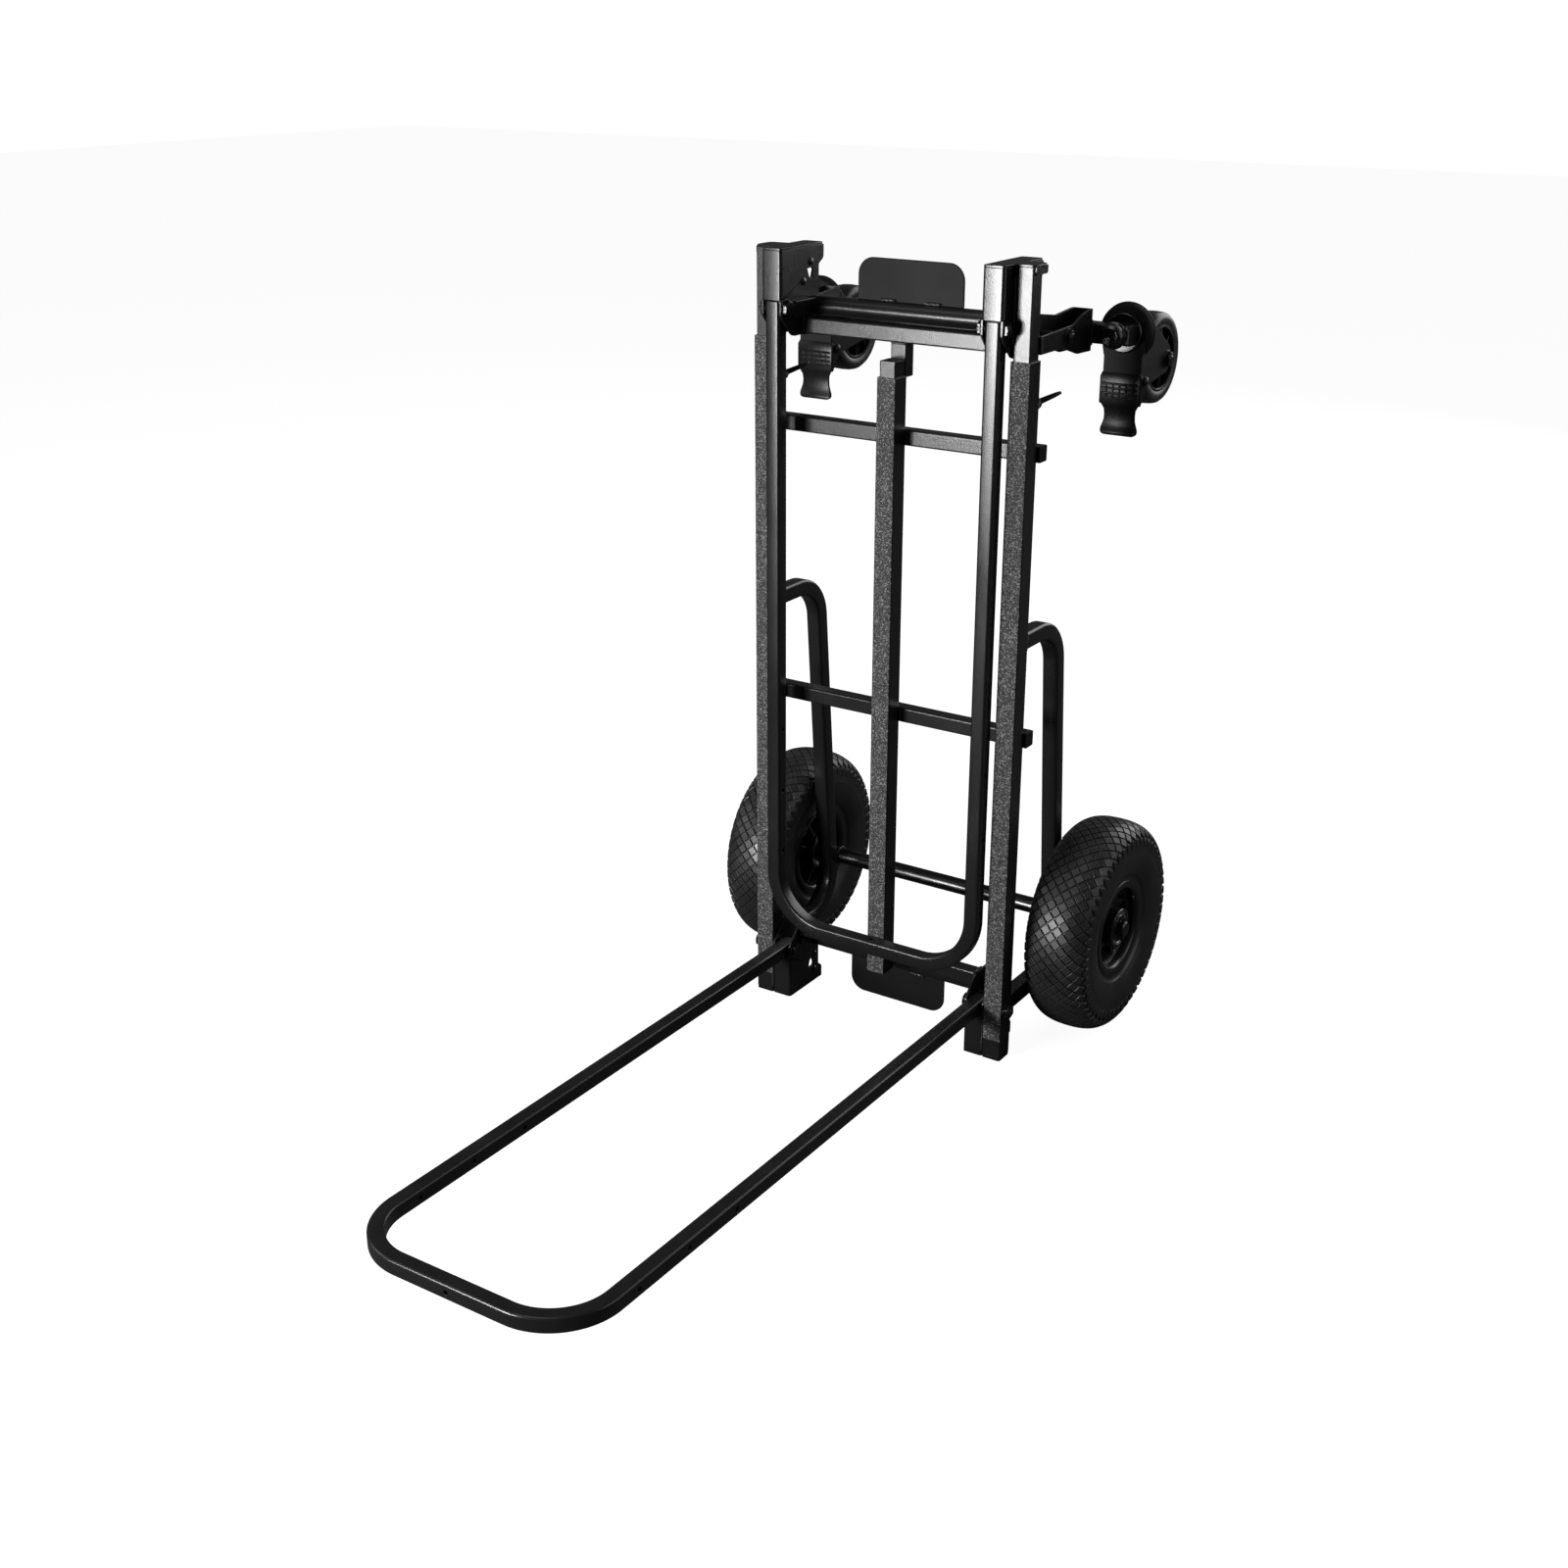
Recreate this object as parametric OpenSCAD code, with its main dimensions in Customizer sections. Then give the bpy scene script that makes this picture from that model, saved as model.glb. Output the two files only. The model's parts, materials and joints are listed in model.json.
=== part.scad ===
// Folding hand truck that turns into a platform cart. Millimetres, +Z up, +X to the right.
// Every module is drawn with Y = 0 on the front face of the rails, and then moved back by
// y_shift, so that the whole object stands centred on the origin.

/* [Frame] */
// Overall width across the two rails
frame_w = 352; // [320:2:400]
// Height of the fixed outer rails
rail_h = 834; // [740:2:1000]
// Width of a rail, seen from the front
rail_w = 24; // [22:1:28]
// Depth of a rail, front to back
rail_d = 25; // [23:1:30]
// Wall of the rails and of the centre tube
rail_wall = 1.5; // [1.2:0.1:1.8]
// Gap on each side between a sliding tube and its outer tube
slide_gap = 0.5; // [0.3:0.1:0.8]
// Height of the sliding rails when they are pushed right in
top_z = 932; // [920:1:1110]
// Height of the lower end of the sliding tubes
slide_bottom_z = 320; // [280:5:420]
// Side of the square crossbar tube
bar_s = 18; // [16:0.5:20]
// Wall of the crossbars, the handles and the axle hoops
tube_wall = 1.6; // [1.2:0.1:2.5]
// Height of the middle crossbar's centre
mid_bar_z = 404; // [360:1:460]
// Height of the upper rear crossbar's centre
upper_bar_z = 733; // [640:1:780]
// Lower end of the centre tube
centre_z0 = 71; // [60:1:76]
// Upper end of the outer centre tube
centre_z1 = 802; // [700:1:810]
// Upper end of the sliding centre tube
centre_slide_top = 820; // [815:1:828]
// Thickness of the gritty grip strip on the front faces
grip_t = 0.6; // [0.4:0.1:0.8]

/* [Handles] */
// Side of the square tube of both U handles
hoop_s = 18; // [16:0.5:19]
// Corner radius of that tube
hoop_corner = 3; // [2:0.5:4]
// Distance of a leg's centre from the mid-plane
leg_x = 139; // [137:0.5:139]
// Bend radius at the tube's centre line
hoop_bend = 70; // [40:1:90]
// From the nose pivot to the nose's tip
nose_len = 787; // [720:1:787]
// From the top handle's pivot to its end
handle_len = 766; // [700:1:770]
// Height of the nose pivot above the floor
nose_pivot_z = 63.5; // [63:0.1:66]
// Spacing of the three accessory holes in each leg
acc_pitch = 80; // [60:1:90]
// Radius of an accessory hole
acc_r = 2.75; // [2:0.25:3.5]
// From a handle's tip to the nearest accessory hole
acc_tip = 105; // [105:5:160]

/* [Brackets and latches] */
// Thickness of the bracket sheet
plate_t = 2.5; // [2:0.1:3]
// Clear gap between a leg and each side plate
leg_gap = 1.5; // [1.3:0.1:1.8]
// Gap between an open handle and the edge of its stop plate
stop_gap = 0.4; // [0.4:0.1:2]
// Height of a bracket's side plates
bracket_h = 96; // [94:0.5:97]
// How far the head brackets stand in front of the rails
head_front = 20; // [20:0.5:24]
// Radius of the pivot bolts
pivot_r = 5; // [4:0.5:5]
// Running clearance of a bush or a plate on its bolt
run_gap = 0.06; // [0.03:0.01:0.1]
// Radius of the latch bar
latch_bar_r = 11; // [10:0.5:11]
// Width of a latch pedal
pedal_w = 135; // [110:1:160]
// Free height of a latch pedal above its bar
pedal_h = 50; // [40:1:52]

/* [Main wheels] */
// Outer diameter of the tyres
tyre_d = 264; // [250:1:280]
// Width of the tyres
tyre_w = 82; // [70:1:84]
// Diameter of the axle
axle_d = 20; // [18:0.5:22]
// Gap between a tyre and the outer face of its rail
tyre_gap = 0.5; // [0.5:0.5:20]
// Distance of the axle behind the rails' front faces
axle_y = 164.5; // [162:0.5:170]
// Side of the square tube of the axle hoops
axle_hoop_s = 20; // [18:0.5:22]
// Bend radius of an axle hoop at its centre line
axle_hoop_bend = 50; // [40:1:55]
// Height of the upper end of an axle hoop
axle_hoop_z = 521; // [480:1:600]
// Height of the lower run of an axle hoop
axle_hoop_low = 66; // [62:1:72]
// Lean of an axle hoop's back, in degrees
hoop_lean = 5; // [4:0.25:5.5]
// Where the upper bend of an axle hoop starts, behind the rails' front faces
hoop_back_y = 68; // [64:1:72]

/* [Casters] */
// Diameter of the caster wheels
caster_d = 104; // [90:1:112]
// Width of the caster wheels
caster_w = 32; // [26:1:34]
// Distance of a kingpin from the mid-plane
kingpin_x = 203; // [198:1:215]
// How far a caster's axle trails its kingpin
trail = 37; // [30:1:42]
// Side of the square caster beam
beam_s = 22; // [20:1:24]
// Front face of the caster beam behind the rails' front faces
beam_y = 146; // [130:1:148]
// Height of the caster beam's centre
beam_z = 847; // [846:1:860]
// Radius of the swivel cup
cup_r = 32.5; // [30:0.5:34]

/* [Hidden] */
$fn = 48;
// Gap left round a shaft, a bar or a bolt that is fixed in its seat
seat_gap = 0.05;

rail_x = frame_w / 2 - rail_w / 2;
rail_in_x = frame_w / 2 - rail_w;
slide_w = rail_w - 2 * rail_wall - 2 * slide_gap;
slide_d = rail_d - 2 * rail_wall - 2 * slide_gap;
slide_y = rail_wall + slide_gap;

stop_h = nose_pivot_z - hoop_s / 2 - stop_gap;

// A leg ends this far past its pivot, so that its corners swing clear of the stop plate
heel = hoop_s / 2 - 1.5;

// Side plates of the brackets, from the mid-plane outwards
in_plate_x = leg_x - hoop_s / 2 - leg_gap - plate_t;
out_plate_x = leg_x + hoop_s / 2 + leg_gap;

// Pivots of the two U handles
nose_pivot_y = rail_d / 2;
head_pivot_y = -head_front / 2;
head_pivot_z = top_z - nose_pivot_z;

// Latch axes, behind the crossbars
foot_latch_y = rail_d + bar_s + 13;
foot_latch_z = nose_pivot_z + 2.5;
head_latch_y = rail_d + bar_s + 7;
head_latch_z = top_z - foot_latch_z;
stud_r = 4;
latch_bolt_r = 4;
claw_t = 3;
claw_x = in_plate_x - 2 - claw_t;
claw_r = 9;
heel_swing = sqrt(pow(hoop_s / 2, 2) + pow(heel, 2));
stud_gap = 2;
foot_stud_y = nose_pivot_y + heel_swing + stud_gap + stud_r;
head_stud_y = head_pivot_y + heel_swing + stud_gap + stud_r;
latch_turn = 18;

// Crossbars that join the brackets
low_bar_z = bracket_h - bar_s / 2 - 1;
top_bar_z = top_z - low_bar_z;

// Main wheels stand on the floor
axle_z = tyre_d / 2;
wheel_x = frame_w / 2 + tyre_gap + tyre_w / 2;
hub_half = tyre_w / 2 - 11;
axle_half = wheel_x + hub_half + 10.5;
bearing_r = 21;
bearing_w = 12;
rim_r = 60;
bead_r = 52;

// Casters reach as far back as the tyres, so that the cart stands level
caster_back = axle_y + tyre_d / 2;
caster_y = caster_back - caster_d / 2;
caster_z = beam_z - trail;
cup_y = beam_y + beam_s + 4;
cup_t = 14;
fork_in = caster_w / 2 + 3.5;
fork_t = 3;
caster_axle_r = 5;
kingpin_r = 6;
brake_y = cup_y + 9;
brake_z = beam_z - 53;
brake_r = 3;
brake_pin_half = fork_in + fork_t + 2;

clamp_z = rail_h - 49;
clamp_r = 4;
// Turn of the wings from upright, when the screws are tight
wing_turn = 60;

y_shift = (nose_len - nose_pivot_y - caster_back) / 2;

black_paint = [0.06, 0.06, 0.065];
dark_plastic = [0.09, 0.09, 0.09];
grit_grey = [0.25, 0.25, 0.25];
rubber_black = [0.12, 0.12, 0.12];
zinc = [0.7, 0.7, 0.72];

// ---- shared shapes ----

// Places a child at the row's own Y
module placed() translate([0, y_shift, 0]) children();

// Draws a right-hand child on the right (+1) or on the left (-1)
module on_side(side) mirror([side < 0 ? 1 : 0, 0, 0]) children();

module both_sides() for (side = [-1, 1]) on_side(side) children();

// Turns a flat outline drawn as (Y, Z) into a plate from x to x + t
module plate_at(x, t) translate([x, 0, 0]) rotate([90, 0, 90]) linear_extrude(t) children();

// Outline of a bar with round ends between two points
module stadium(p, q, r) {
    run = q - p;
    translate(p) rotate(atan2(run[1], run[0])) {
        circle(r);
        translate([norm(run), 0]) circle(r);
        translate([0, -r]) square([norm(run), 2 * r]);
    }
}

module round_box(w, h, r) {
    translate([-w / 2 + r, -h / 2]) square([w - 2 * r, h]);
    translate([-w / 2, -h / 2 + r]) square([w, h - 2 * r]);
    for (x = [-1, 1], y = [-1, 1]) translate([x * (w / 2 - r), y * (h / 2 - r)]) circle(r);
}

module box_section(w, h, r, wall) difference() {
    round_box(w, h, r);
    round_box(w - 2 * wall, h - 2 * wall, max(r - wall, 0.6));
}

// Upright tube of width w and depth d, with its front face at y0
module upright(x, y0, w, d, r, wall, z0, z1)
    translate([x, y0 + d / 2, z0]) linear_extrude(z1 - z0) box_section(w, d, r, wall);

// Tube along X, centred on (y, z)
module crossbar(x0, x1, y, z, s, wall)
    translate([x0, y, z]) rotate([90, 0, 90]) linear_extrude(x1 - x0) box_section(s, s, 2, wall);

module rod_x(x0, x1, y, z, r) translate([x0, y, z]) rotate([0, 90, 0]) cylinder(h = x1 - x0, r = r);

module hex_x(x0, x1, y, z, flats)
    translate([x0, y, z]) rotate([0, 90, 0]) cylinder(h = x1 - x0, r = flats / sqrt(3), $fn = 6);

module rod_y(x, y0, y1, z, r) translate([x, y1, z]) rotate([90, 0, 0]) cylinder(h = y1 - y0, r = r);

module hex_y(x, y0, y1, z, flats)
    translate([x, y1, z]) rotate([90, 0, 0]) cylinder(h = y1 - y0, r = flats / sqrt(3), $fn = 6);

// Ring about X, from x0 to x1
module ring_x(x0, x1, y, z, r_out, r_in) difference() {
    rod_x(x0, x1, y, z, r_out);
    rod_x(x0 - 1, x1 + 1, y, z, r_in);
}

// ---- U handles ----

// U of square tube in the XY plane. The pivot is at the origin and the tip at -len.
module u_tube(len) {
    straight = len - hoop_s / 2 - hoop_bend;
    bend_x = leg_x - hoop_bend;
    both_sides() {
        translate([leg_x, heel, 0]) rotate([90, 0, 0]) linear_extrude(straight + heel)
            box_section(hoop_s, hoop_s, hoop_corner, tube_wall);
        translate([bend_x, -straight, 0]) rotate([0, 0, -90]) rotate_extrude(angle = 90)
            translate([hoop_bend, 0]) box_section(hoop_s, hoop_s, hoop_corner, tube_wall);
    }
    crossbar_x(bend_x, -len + hoop_s / 2);
}

module crossbar_x(half, y)
    translate([-half, y, 0]) rotate([90, 0, 90]) linear_extrude(2 * half)
        box_section(hoop_s, hoop_s, hoop_corner, tube_wall);

// The U with its pivot holes, its accessory holes and its closed heels
module u_handle(len) difference() {
    union() {
        u_tube(len);
        both_sides() translate([leg_x, heel, 0]) rotate([90, 0, 0]) linear_extrude(tube_wall)
            round_box(hoop_s - tube_wall, hoop_s - tube_wall, hoop_corner - tube_wall / 2);
    }
    both_sides() {
        rod_x(leg_x - hoop_s, leg_x + hoop_s, 0, 0, pivot_r + 1.5);
        for (i = [0 : 2])
            rod_x(leg_x - hoop_s, leg_x + hoop_s, acc_tip + i * acc_pitch - len, 0, acc_r);
    }
    rod_y(0, -len - 1, -len + hoop_s + 1, 0, acc_r);
}

// Flanged nylon bushes of one U handle, about its pivot
module u_bushes() both_sides() difference() {
    union() {
        rod_x(leg_x - hoop_s / 2 - 1, leg_x + hoop_s / 2 + 1, 0, 0, pivot_r + 1.5);
        for (x = [leg_x - hoop_s / 2 - 1, leg_x + hoop_s / 2]) rod_x(x, x + 1, 0, 0, hoop_s / 2 - 1);
    }
    rod_x(leg_x - hoop_s, leg_x + hoop_s, 0, 0, pivot_r + run_gap);
}

// Lays a U handle down, as the open nose is
module nose_place() translate([0, nose_pivot_y, nose_pivot_z]) children();

// Hangs a U handle from the head brackets
module head_place() translate([0, head_pivot_y, head_pivot_z]) rotate([90, 0, 0]) children();

module nose_handle() color(black_paint) placed() nose_place() u_handle(nose_len);
module nose_bushes() color(dark_plastic) placed() nose_place() u_bushes();
module top_handle() color(black_paint) placed() head_place() u_handle(handle_len);
module top_handle_bushes() color(dark_plastic) placed() head_place() u_bushes();

// ---- lower frame ----

module rail(side) placed() difference() {
    on_side(side) upright(rail_x, 0, rail_w, rail_d, 1.5, rail_wall, foot_cap_h(), rail_h);
    on_side(side) rod_x(rail_in_x - 1, frame_w / 2 + 1, nose_pivot_y, nose_pivot_z, pivot_r + 0.2);
    on_side(side) rod_y(rail_x, rail_d / 2, rail_d + 1, clamp_z, clamp_r + 0.2);
}

function foot_cap_h() = 4;

module left_rail() color(black_paint) rail(-1);
module right_rail() color(black_paint) rail(1);

module centre_tube() color(black_paint) placed()
    upright(0, 0, rail_w, rail_d, 1.5, rail_wall, centre_z0, centre_z1);

// Anti-slip strips on the front faces of the rails and of the centre tube
module grip_strips() color(grit_grey) placed() {
    strip_w = rail_w - 1.5;
    both_sides() translate([rail_x - strip_w / 2, -grip_t, foot_cap_h() + 22])
        cube([strip_w, grip_t, rail_h - foot_cap_h() - 22]);
    translate([-strip_w / 2, -grip_t, centre_z0]) cube([strip_w, grip_t, centre_z1 - centre_z0]);
}

module back_crossbars() color(black_paint) placed()
    for (z = [mid_bar_z, upper_bar_z])
        crossbar(-frame_w / 2, frame_w / 2, rail_d + bar_s / 2, z, bar_s, tube_wall);

module bottom_crossbar() color(black_paint) placed()
    crossbar(-in_plate_x, in_plate_x, rail_d + bar_s / 2, low_bar_z, bar_s, tube_wall);

// Plastic feet of the rails and end caps of the back crossbars
module frame_plugs() color(dark_plastic) placed() both_sides() {
    translate([rail_x, rail_d / 2, 0]) linear_extrude(foot_cap_h()) round_box(rail_w, rail_d, 2.5);
    translate([rail_x, rail_d / 2, foot_cap_h()]) linear_extrude(14)
        round_box(rail_w - 2 * rail_wall, rail_d - 2 * rail_wall, 0.6);
    for (z = [mid_bar_z, upper_bar_z]) translate([frame_w / 2, rail_d + bar_s / 2, z]) {
        rotate([90, 0, 90]) linear_extrude(3) round_box(bar_s, bar_s, 2);
        translate([-10, 0, 0]) rotate([90, 0, 90]) linear_extrude(10)
            round_box(bar_s - 2 * tube_wall, bar_s - 2 * tube_wall, 0.6);
    }
}

// Outline of a bracket's side plate, measured from the floor end and from its front edge.
// depth is the plate's depth, and ear is how far the end lobe stands behind it.
module side_outline(depth, ear) {
    front_r = 24;
    back_r = 8;
    square([depth, bracket_h - front_r]);
    translate([front_r, 0]) square([depth - front_r - back_r, bracket_h]);
    translate([front_r, 0]) square([depth - front_r, bracket_h - back_r]);
    translate([front_r, bracket_h - front_r]) circle(front_r);
    translate([depth - back_r, bracket_h - back_r]) circle(back_r);
    translate([depth - 1, 0]) square([ear - 4, 16]);
    translate([depth - 1, 0]) square([ear + 1, 11]);
    translate([depth + ear - 5, 11]) circle(5);
}

// Channel that holds one leg, drawn at the floor end of the right side, front edge at y0.
// The pivot, the latch axis and the latch stud's slot are cut at the given places.
module bracket(y0, depth, ear, pivot_y, latch_y, latch_z, stud_y) difference() {
    union() {
        for (x = [in_plate_x, out_plate_x]) plate_at(x, plate_t) translate([y0, 0])
            side_outline(depth, ear);
        translate([in_plate_x, y0, 0]) cube([out_plate_x + plate_t - in_plate_x, plate_t, stop_h]);
    }
    rod_x(in_plate_x - 1, out_plate_x + plate_t + 1, pivot_y, nose_pivot_z, pivot_r + 0.2);
    rod_x(in_plate_x - 1, in_plate_x + plate_t + 1, latch_y, latch_z, latch_bolt_r + 0.1);
    plate_at(in_plate_x - 1, plate_t + 2)
        stadium([stud_y, latch_z + 1], [stud_y + 1.5, latch_z - slot_drop(latch_y - stud_y)],
            stud_r + 1);
    plate_at(in_plate_x - 1, out_plate_x - in_plate_x + plate_t + 2)
        stadium([y0 + depth - 19, 24], [y0 + depth - 15, 31], 5);
}

// Distance that a latch stud moves down in its slot as the pedal is pressed
function slot_drop(reach) = reach * sin(latch_turn) + 1;

module foot_bracket(side) placed() on_side(side)
    bracket(0, 67, 8, nose_pivot_y, foot_latch_y, foot_latch_z, foot_stud_y);

module left_foot_bracket() color(black_paint) foot_bracket(-1);
module right_foot_bracket() color(black_paint) foot_bracket(1);

// Bent tube that carries the axle behind one rail: a top run, a leaning back and a low run
module axle_hoop(side) placed() on_side(side) difference() {
    plate_at(rail_x - axle_hoop_s / 2, axle_hoop_s) hoop_band(axle_hoop_s);
    plate_at(rail_x - axle_hoop_s / 2 + tube_wall, axle_hoop_s - 2 * tube_wall)
        hoop_band(axle_hoop_s - 2 * tube_wall);
    rod_x(rail_in_x - 1, frame_w / 2 + 1, axle_y, axle_z, axle_d / 2 + seat_gap);
}

// Side view of the hoop as a band of width w along the tube's centre line
module hoop_band(w) difference() {
    hoop_area(axle_hoop_bend + w / 2, rail_d);
    hoop_area(axle_hoop_bend - w / 2, rail_d - 1);
    translate([-rail_h, 0]) square([rail_h + rail_d, rail_h]);
}

// Everything in front of the hoop's back, out to radius r about its two bend centres
module hoop_area(r, y0) {
    high_z = axle_hoop_z - axle_hoop_bend;
    low_z = axle_hoop_low + axle_hoop_bend;
    high_y = hoop_back_y;
    low_y = high_y + (high_z - low_z) * tan(hoop_lean);
    out = [r * cos(hoop_lean), r * sin(hoop_lean)];
    polygon([[y0, low_z - r], [low_y, low_z - r], [low_y + out[0], low_z + out[1]],
        [high_y + out[0], high_z + out[1]], [high_y, high_z + r], [y0, high_z + r]]);
    translate([low_y, low_z]) circle(r);
    translate([high_y, high_z]) circle(r);
}

module left_axle_hoop() color(black_paint) axle_hoop(-1);
module right_axle_hoop() color(black_paint) axle_hoop(1);

module axle() color(zinc) placed() difference() {
    rod_x(-axle_half, axle_half, axle_y, axle_z, axle_d / 2);
    both_sides() translate([axle_half - 5, axle_y, axle_z - axle_d]) cylinder(h = 2 * axle_d, r = 1.8);
}

// Spacers and washers on both sides of each hub, and the split pins that hold them
module axle_retainers() color(zinc) placed() both_sides() {
    ring_x(rail_x + axle_hoop_s / 2 + 0.3, wheel_x - hub_half - 0.4, axle_y, axle_z,
        axle_d / 2 + 5, axle_d / 2 + seat_gap);
    ring_x(wheel_x + hub_half + 0.5, wheel_x + hub_half + 3, axle_y, axle_z,
        axle_d / 2 + 7, axle_d / 2 + seat_gap);
    translate([axle_half - 5, axle_y, axle_z - axle_d / 2 - 6]) cylinder(h = axle_d + 12, r = 1.75);
}

// Bolt through the bracket and the rail that the nose turns on, with its nut
module nose_pivot_bolts() color(zinc) placed() both_sides() {
    rod_x(in_plate_x - 1, frame_w / 2 + 8, nose_pivot_y, nose_pivot_z, pivot_r);
    hex_x(in_plate_x - 6, in_plate_x, nose_pivot_y, nose_pivot_z, 3.2 * pivot_r);
    hex_x(frame_w / 2, frame_w / 2 + 6, nose_pivot_y, nose_pivot_z, 3.2 * pivot_r);
}

module clamp_nuts() color(zinc) placed() both_sides() difference() {
    hex_y(rail_x, rail_d, rail_d + 8, clamp_z, 15);
    rod_y(rail_x, rail_d - 1, rail_d + 9, clamp_z, clamp_r + 0.05);
}

// Wing bolt that clamps the sliding rail, with a boss and two swept wings
module clamp_bolt(side) placed() on_side(side) {
    tip_y = slide_y + slide_d + 0.3;
    rod_y(rail_x, tip_y, rail_d + 12, clamp_z, clamp_r);
    rod_y(rail_x, rail_d + 9, rail_d + 20, clamp_z, 7);
    translate([rail_x, 0, clamp_z]) rotate([0, side * wing_turn, 0]) plate_at(-2.5, 5) {
        stadium([rail_d + 15, 0], [rail_d + 42, 16], 4.5);
        stadium([rail_d + 15, 0], [rail_d + 42, -16], 4.5);
    }
}

module left_clamp_bolt() color(dark_plastic) clamp_bolt(-1);
module right_clamp_bolt() color(dark_plastic) clamp_bolt(1);

// ---- main wheels ----

// Places a section drawn as (radius, along the axle) on a main wheel
module wheel_turn(side) placed() translate([side * wheel_x, axle_y, axle_z]) rotate([0, side * 90, 0])
    rotate_extrude() children();

module tyre_outline(inset) {
    half = tyre_w / 2 - inset;
    shoulder = 27 - inset;
    r_out = tyre_d / 2 - inset;
    crown = 60;
    bead_w = 2 * rim_half() - 2 * inset;
    mid_w = 2 * (half - shoulder);
    translate([bead_r + inset, -bead_w / 2]) square([r_out - bead_r - 20, bead_w]);
    for (y = [-1, 1]) translate([r_out - 2 - shoulder, y * (half - shoulder)]) circle(shoulder);
    translate([rim_r + 2 + inset, -mid_w / 2]) square([r_out - rim_r - 4 - inset, mid_w]);
    translate([rim_r + 8 + inset, -half]) square([r_out - 2 - shoulder - rim_r - 8 - inset, 2 * half]);
    intersection() {
        translate([r_out - crown, 0]) circle(crown);
        translate([r_out - 6, -mid_w / 2]) square([6, mid_w]);
    }
}

function rim_half() = 30;

module tyre(side) wheel_turn(side) difference() {
    tyre_outline(0);
    tyre_outline(7);
}

module left_tyre() color(rubber_black) tyre(-1);
module right_tyre() color(rubber_black) tyre(1);

// Pressed rim: barrel, two flanges, a dished disc and the hub tube with bearing seats
module rim(side) wheel_turn(side) {
    flange_t = 2.5;
    translate([bead_r - 3, -rim_half()]) square([3, 2 * rim_half()]);
    for (y = [-1, 1]) translate([0, y * (rim_half() + flange_t / 2)]) {
        translate([bead_r - 3, -flange_t / 2]) square([rim_r - bead_r + 3, flange_t]);
        translate([rim_r, 0]) circle(flange_t / 2);
    }
    translate([bearing_r + 3, 5]) square([bead_r - 3 - bearing_r - 3, 3]);
    translate([bearing_r, -hub_half]) square([3.5, 2 * hub_half]);
    translate([axle_d / 2 + 4, -hub_half + bearing_w]) square([bearing_r - axle_d / 2 - 3.5,
        2 * (hub_half - bearing_w)]);
}

module left_rim() color(black_paint) rim(-1);
module right_rim() color(black_paint) rim(1);

module bearings(side) wheel_turn(side)
    for (y = [-hub_half, hub_half - bearing_w])
        translate([axle_d / 2 + run_gap, y]) square([bearing_r - axle_d / 2 - run_gap, bearing_w]);

module left_bearings() color(zinc) bearings(-1);
module right_bearings() color(zinc) bearings(1);

// ---- sliding frame ----

module slide_rail(side) placed() difference() {
    on_side(side) upright(rail_x, slide_y, slide_w, slide_d, 1.5, rail_wall, slide_bottom_z, top_z);
}

module left_slide_rail() color(black_paint) slide_rail(-1);
module right_slide_rail() color(black_paint) slide_rail(1);

module slide_centre_tube() color(black_paint) placed()
    upright(0, slide_y, slide_w, slide_d, 1.5, rail_wall, slide_bottom_z, centre_slide_top);

// Plastic plugs that close the lower ends of the sliding tubes and the top of the middle one
module slide_plugs() color(dark_plastic) placed() {
    plug_h = 12;
    for (x = [-rail_x, 0, rail_x]) translate([x, slide_y + slide_d / 2, slide_bottom_z - 2]) {
        linear_extrude(2) round_box(slide_w, slide_d, 1.5);
        translate([0, 0, 2]) linear_extrude(plug_h)
            round_box(slide_w - 2 * rail_wall, slide_d - 2 * rail_wall, 0.6);
    }
    translate([0, slide_y + slide_d / 2, centre_slide_top - plug_h]) linear_extrude(plug_h)
        round_box(slide_w - 2 * rail_wall, slide_d - 2 * rail_wall, 0.6);
}

module top_crossbar() color(black_paint) placed()
    crossbar(-in_plate_x, in_plate_x, rail_d + bar_s / 2, top_bar_z, bar_s, tube_wall);

// Short post under the top crossbar, tied to the sliding centre tube by a flat pad
module centre_link() color(black_paint) placed() {
    link_z0 = centre_z1 - 2;
    pad_y = slide_y + slide_d;
    upright(0, rail_d + 0.4, slide_w, bar_s - 0.4, 2, tube_wall, link_z0, top_bar_z - bar_s / 2);
    translate([-slide_w / 2 + 2, pad_y, centre_z1 + 2])
        cube([slide_w - 4, rail_d + 0.4 - pad_y, centre_slide_top - centre_z1 - 4]);
}

// A foot bracket turned upside down at the top, moved forward, with its top plate
module head_bracket(side) placed() on_side(side) {
    depth = 78;
    translate([0, 0, top_z]) mirror([0, 0, 1])
        bracket(-head_front, depth, 10, head_pivot_y, head_latch_y, foot_latch_z, head_stud_y);
    difference() {
        union() {
            translate([in_plate_x, -head_front, top_z])
                cube([out_plate_x + plate_t - in_plate_x, depth + 4, plate_t]);
            translate([in_plate_x, depth - head_front + 4, top_z])
                cube([out_plate_x + plate_t - in_plate_x, 6, plate_t]);
            translate([out_plate_x, 4, top_z]) cube([frame_w / 2 - out_plate_x - 6, rail_d + 4, plate_t]);
            translate([out_plate_x, 10, top_z]) cube([frame_w / 2 - out_plate_x, rail_d - 8, plate_t]);
            for (y = [10, rail_d + 2]) translate([frame_w / 2 - 6, y, top_z]) cylinder(h = plate_t, r = 6);
        }
        for (y = top_hole_ys()) translate([top_hole_x(), y, top_z - 1]) cylinder(h = plate_t + 2, r = acc_r);
    }
}

function top_hole_x() = in_plate_x + 9;
function top_hole_ys() = [8, 38];

module left_head_bracket() color(black_paint) head_bracket(-1);
module right_head_bracket() color(black_paint) head_bracket(1);

// Inner plate of a caster arm, against the outside of the head bracket
arm_x0 = out_plate_x + plate_t;

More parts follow.
